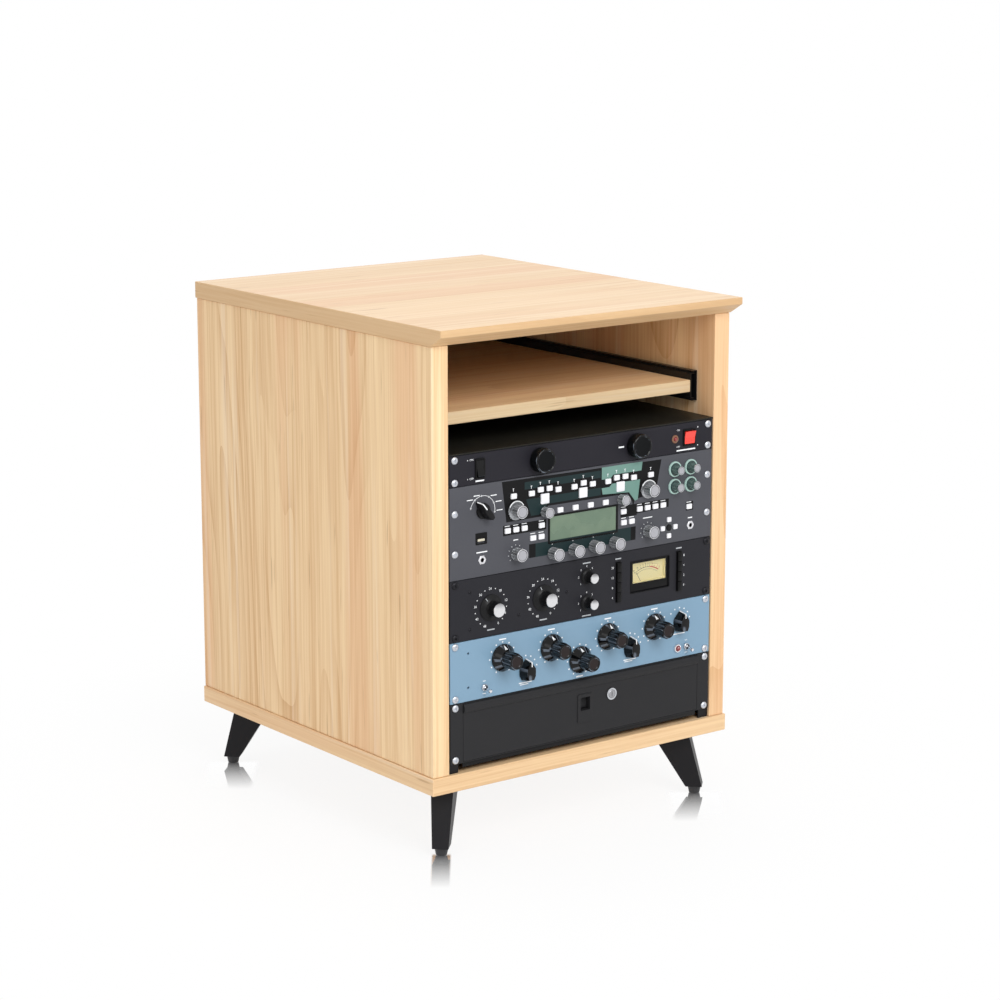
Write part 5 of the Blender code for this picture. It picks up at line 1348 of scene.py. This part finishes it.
equaliser = {
    "largeKnobs": {
        "low_boost_knob": (-0.1487, 0.301, -3), "low_atten_knob": (-0.0608, 0.3005, -9),
        "high_boost_knob": (0.0443, 0.3008, 0), "high_atten_knob": (0.1331, 0.3, -10),
        "bandwidth_knob": (-0.008, 0.327, -8),
    },
    "pointerKnobs": {
        "low_frequency_knob": (-0.108, 0.3262), "high_frequency_knob": (0.086, 0.324),
        "atten_select_knob": (0.1812, 0.3),
    },
    "toggles": {"in_toggle": (-0.1815, 0.3393), "power_toggle": (0.1957, 0.3401)},
    "jewel": (0.1782, 0.3405),
    "holes": ((-0.2095, 0.2854), (-0.2095, 0.3353)),
    "lowRow": 0.32,  # knobs further down have their labels below them
}


def skirtedKnob():
    bm = spun([*shaft, (0.0192, 0.0004), (0.02, 0.001), (0.02, 0.003), (0.0194, 0.0036), (0.0172, 0.0062),
               (0.015, 0.0092), (0.0128, 0.0118), (0.0118, 0.0135), (0.0118, 0.014), (0.0124, 0.015),
               (0.0125, 0.016), (0.0125, 0.023), (0.0125, 0.03), (0.0122, 0.0322), (0.0112, 0.0334),
               (0.0098, 0.0338), (0.0085, 0.0336), (0.0078, 0.033), (0.004, 0.033), (0, 0.033)], 96)
    fluted(bm, 8, 0.0016, 0.0145, 0.0325, 1.5)
    paintFaces(bm, 1, lambda r, z: z > 0.0329 and r < 0.0077)
    mark = bmesh.new()
    inkShape(mark, [(-0.0021, -0.0138), (0.0021, -0.0138), (0.0011, -0.0164), (0, -0.0188), (-0.0011, -0.0164)])
    pushUp(mark, 0.0003)
    for vert in mark.verts:
        # the skirt's slope from r 0.0128 at z 0.0118 to r 0.0194 at z 0.0036
        vert.co.z += 0.0118 - (math.hypot(vert.co.x, vert.co.y) - 0.0128) * 1.242 - 0.00005
    return addTo(bm, mark, index=2)


def pointerKnob():
    # a house-shaped grip that narrows towards its face, with a line over its ridge
    reach, tip, tail, narrow = 0.016, 0.0172, -0.0145, 0.84
    right = [(0.0108, 0.0056), (0.0114, 0), (0.0108, -0.0076), (0.0072, tail)]
    outline = [(0, tip)] + right + [(-x, y) for x, y in reversed(right)]
    bm = outlinePlate(outline[::-1], 0.0005, reach)
    bmesh.ops.scale(bm, vec=(0.66, narrow, 1), verts=[v for v in bm.verts if v.co.z > 0.01])
    roundEdges(bm, bm.edges[:], 0.0009, 4)
    addTo(bm, spun([*shaft[:2], (0.0026, 0.001), (0, 0.0012)], 24))
    line, edge = bmesh.new(), tip * narrow
    strip(line, (0, edge - 0.0068, reach + 0.00004), (0, edge - 0.0004, reach + 0.00004), 0.0015, 0.0003)
    strip(line, (0, edge - 0.0002, reach - 0.0002), (0, tip - 0.0006, 0.0016), 0.0015, 0.0012)
    return addTo(bm, line, index=1)


def buildToggle(name, x, down):
    bore = 0.0037
    threads = [(0.0044 - 0.0003 * (i % 2), 0.0015 + 0.00026 * i) for i in range(9)]
    collar = spun([(bore, 0), *threads, (0.0041, 0.0042), (bore, 0.0042), (bore, 0)], 32)
    bush = addTo(hexNut(0.0054, 0.0016, bore), collar)
    place(name.split("_")[0] + "Bush", bush, "chrome", faceMatrix(x, down))
    bat = spun([(0, -0.002), (0.0014, -0.0018), (0.0024, -0.0008), (0.0026, 0.0002), (0.0022, 0.0014),
                (0.0013, 0.0022), (0.0013, 0.0044), (0.002, 0.0085), (0.0026, 0.012), (0.0026, 0.0135),
                (0.0021, 0.0146), (0.0012, 0.015), (0, 0.0151)], 32)
    bat.transform(Matrix.Translation((0, 0, 0.0017)) @ Matrix.Rotation(math.radians(11), 4, "X"))
    setKnob(name, bat, "bright", x, down)


def buildEqualiser():
    s = equaliser
    facePlate("equaliser", [(roundedRect(0.0036, 0.0036, 0.0017, 6, (x, -down)), 0.004) for x, down in s["holes"]])
    white = bmesh.new()
    for name, (x, down, turn) in s["largeKnobs"].items():
        setKnob(name, skirtedKnob(), "gloss brown whiteInk", x, down, -turn)
        for _, _, px, pd in around(x, down, 0.0228, 11):
            inkDot(white, px, pd, 0.0012)
        inkBar(white, x, down - 0.0268 if down < s["lowRow"] else down + 0.0252, 0.0125, 0.002)
    for name, (x, down) in s["pointerKnobs"].items():
        setKnob(name, pointerKnob(), "gloss whiteInk", x, down)
        for _, _, px, pd in around(x, down, 0.0212, 6, -48, 78):
            inkDot(white, px, pd, 0.0012)
        inkBar(white, x, down + 0.0184, 0.023, 0.0015)
        if down > s["lowRow"]:
            inkBar(white, x - 0.002, down + 0.021, 0.015, 0.0012)
    for name, spot in s["toggles"].items():
        buildToggle(name, *spot)
    x, down = s["toggles"]["power_toggle"]
    inkWords(white, "ON", x, down - 0.0095, 0.0022)
    inkWords(white, "OFF", x, down + 0.0095, 0.0022)
    x, down = s["toggles"]["in_toggle"]
    inkBar(white, x, down - 0.0092, 0.0045, 0.001)
    inkBar(white, x, down + 0.0092, 0.006, 0.001)
    printed("equaliserPrint", white, "whiteInk")
    ring = spun([(0.0042, 0), (0.0042, 0.0024), (0.0046, 0.0028), (0.006, 0.0026), (0.0066, 0.0016), (0.0066, 0),
                 (0.0042, 0)], 48)
    place("lampRing", ring, "bright", faceMatrix(*s["jewel"]))
    dome = spun([(0, -0.0005), (0.0042, -0.0005), (0.0042, 0.0026), (0.0038, 0.004), (0.003, 0.0052),
                 (0.0018, 0.006), (0, 0.0062)], 10)
    place("lampJewel", dome, "darkRed", faceMatrix(*s["jewel"]), smooth=12)


# Rack drawer

drawer = {
    "lock": (0.0518, 0.3888),
    # painted shade: a black strip in the gap under the drawer; its size, how far down and how far back
    "apron": (0.436, 0.0072, 0.0012),
    "apronDown": 0.4477,
    "apronSetback": 0.0034,
}


def buildDrawer():
    s = drawer
    for name in ("drawer_housing", "drawer_tray", "drawer_latch"):
        dress(name, finish["drawer"], 0.0003)
    x, down = s["lock"]
    core = spun([(0, -0.016), (0.0037, -0.016), (0.0037, -0.013), (0.0062, -0.013), (0.0062, 0.0012),
                 (0.006, 0.0018), (0.0054, 0.0022), (0.003, 0.0021), (0, 0.0021)], 48)
    slit = bmesh.new()
    block(slit, (0.0011, 0.0072, 0.005), (0, 0, 0.0021))
    cam = outlinePlate([(-0.0037, -0.0037), (0.0037, -0.0037), (0.0031, 0.02), (-0.0031, 0.02)], -0.0151, -0.0133)
    roundEdges(cam, cam.edges[:], 0.0003, 2)
    setKnob("drawer_lock", addTo(cut(core, slit), cam), "lock", x, down)
    collar = spun([(0.0064, 0.0015), (0.0064, 0.0018), (0.0068, 0.002), (0.0084, 0.002), (0.0089, 0.0018),
                   (0.009, 0.0015), (0.0064, 0.0015)], 64)
    place("lockCollar", collar, "chrome", faceMatrix(x, down), "drawer")
    # painted shade: a black strip closes the gap under the drawer, a little behind its front, and stands in for the
    # deep shadow there
    shadeFiller = eased(s["apron"], (0, 0, -s["apronSetback"]), 0.0003)
    place("drawerApron", shadeFiller, "satin", faceMatrix(0, s["apronDown"]))


# Sockets at the backs of the cases, seen through the cabinet's service opening

rears = {
    # kind, x and y from the middle, and for a row how many and how far apart
    "conditioner": (("mains", -0.174, 0), ("outlet", -0.125, 0, 8, 0.037)),
    "modeller": (("mains", -0.174, 0), ("xlr", -0.12, -0.03, 4, 0.03), ("jack", -0.125, 0.006, 10, 0.019),
                 ("din", 0.03, -0.03, 3, 0.026), ("louvre", -0.09, 0.04, 19, 0.01)),
    "compressor": (("mains", -0.174, 0), ("xlr", -0.07, 0, 2, 0.04), ("jack", 0.01, 0, 2, 0.025),
                   ("louvre", 0.08, 0, 9, 0.01)),
    "equaliser": (("mains", -0.174, 0), ("xlr", -0.09, 0, 2, 0.04), ("din", 0, 0), ("louvre", 0.06, 0, 10, 0.01)),
}


def rearMatrix(name):
    # local x is to the right as seen from behind, y is up, z comes out of the back of the case
    row, units, depth = gear[name]
    down = (row + units / 2) * rack["unit"]
    spot = Matrix.Translation((0, face + rack["plateThickness"] + depth, rackTop - down))
    return spot @ Matrix.Rotation(math.pi, 4, "Z") @ Matrix.Rotation(math.pi / 2, 4, "X")


def rearSocket(kind):
    # material 0 is black plastic, 1 is bright metal
    if kind == "mains":
        bm = opened(plate(0.0275, 0.0205, 0.002, 0, 0.002), 0.0228, 0.0158, 0.004, deep=0.0004)
        pins = bmesh.new()
        for x, y in ((-0.0062, -0.002), (0.0062, -0.002), (0, 0.003)):
            block(pins, (0.002, 0.004, 0.0014), (x, y, 0.0009))
        return addTo(bm, pins, index=1)
    if kind == "outlet":
        slots = bmesh.new()
        for x, height in ((-0.0063, 0.008), (0.0063, 0.0066)):
            block(slots, (0.002, height, 0.006), (x, 0.003, 0))
        addTo(slots, disc(0.0026, -0.003, 0.003, 16), at(0, 0.0065))
        return cut(plate(0.03, 0.027, 0.004, 0, 0.0016), slots)
    if kind == "xlr":
        pins = spun([(0.0092, 0.001), (0.0092, 0.002), (0.0106, 0.002), (0.011, 0.0016), (0.011, 0.001),
                     (0.0092, 0.001)], 40)
        for _, _, x, down in around(0, 0, 0.0042, 3, 0, 240):
            addTo(pins, disc(0.0012, 0.001, 0.0019, 12), at(x, down))
        return addTo(plate(0.024, 0.028, 0.003, 0, 0.0012), pins, index=1)
    if kind == "louvre":
        bm = bmesh.new()
        block(bm, (0.004, 0.024, 0.0012), (0, 0, 0.0006))
        roundAbove(bm, 0, 0.0005)
        return bm
    radius = 0.006 if kind == "jack" else 0.008
    bm = spun([(0, 0.0002), (radius * 0.52, 0.0002), (radius * 0.55, 0.0014), (radius, 0.0014), (radius, 0),
               (0, 0)], 28)
    return addTo(bm, hexNut(radius * 1.1, 0.0008, radius * 0.6), index=1) if kind == "jack" else bm


def buildRears():
    for name, rows in rears.items():
        bm = bmesh.new()
        for kind, x, y, *row in rows:
            pattern = rearSocket(kind)
            count, pitch = row or (1, 0)
            for i in range(count):
                addTo(bm, pattern.copy(), Matrix.Translation((x + pitch * i, y, 0.0001)))
            pattern.free()
        place(name + "Rear", bm, "satin zinc", rearMatrix(name))


buildCabinet()
buildFeet()
print("cabinet: boards, rails, slides, legs and feet")
buildConditioner()
print("gear: power conditioner")
buildModeller()
print("gear: amp modeller")
buildCompressor()
print("gear: compressor")
buildEqualiser()
print("gear: equaliser")
buildDrawer()
buildRackScrews()
buildRears()
print("gear: drawer, rack screws and sockets")

bpy.context.view_layer.update()
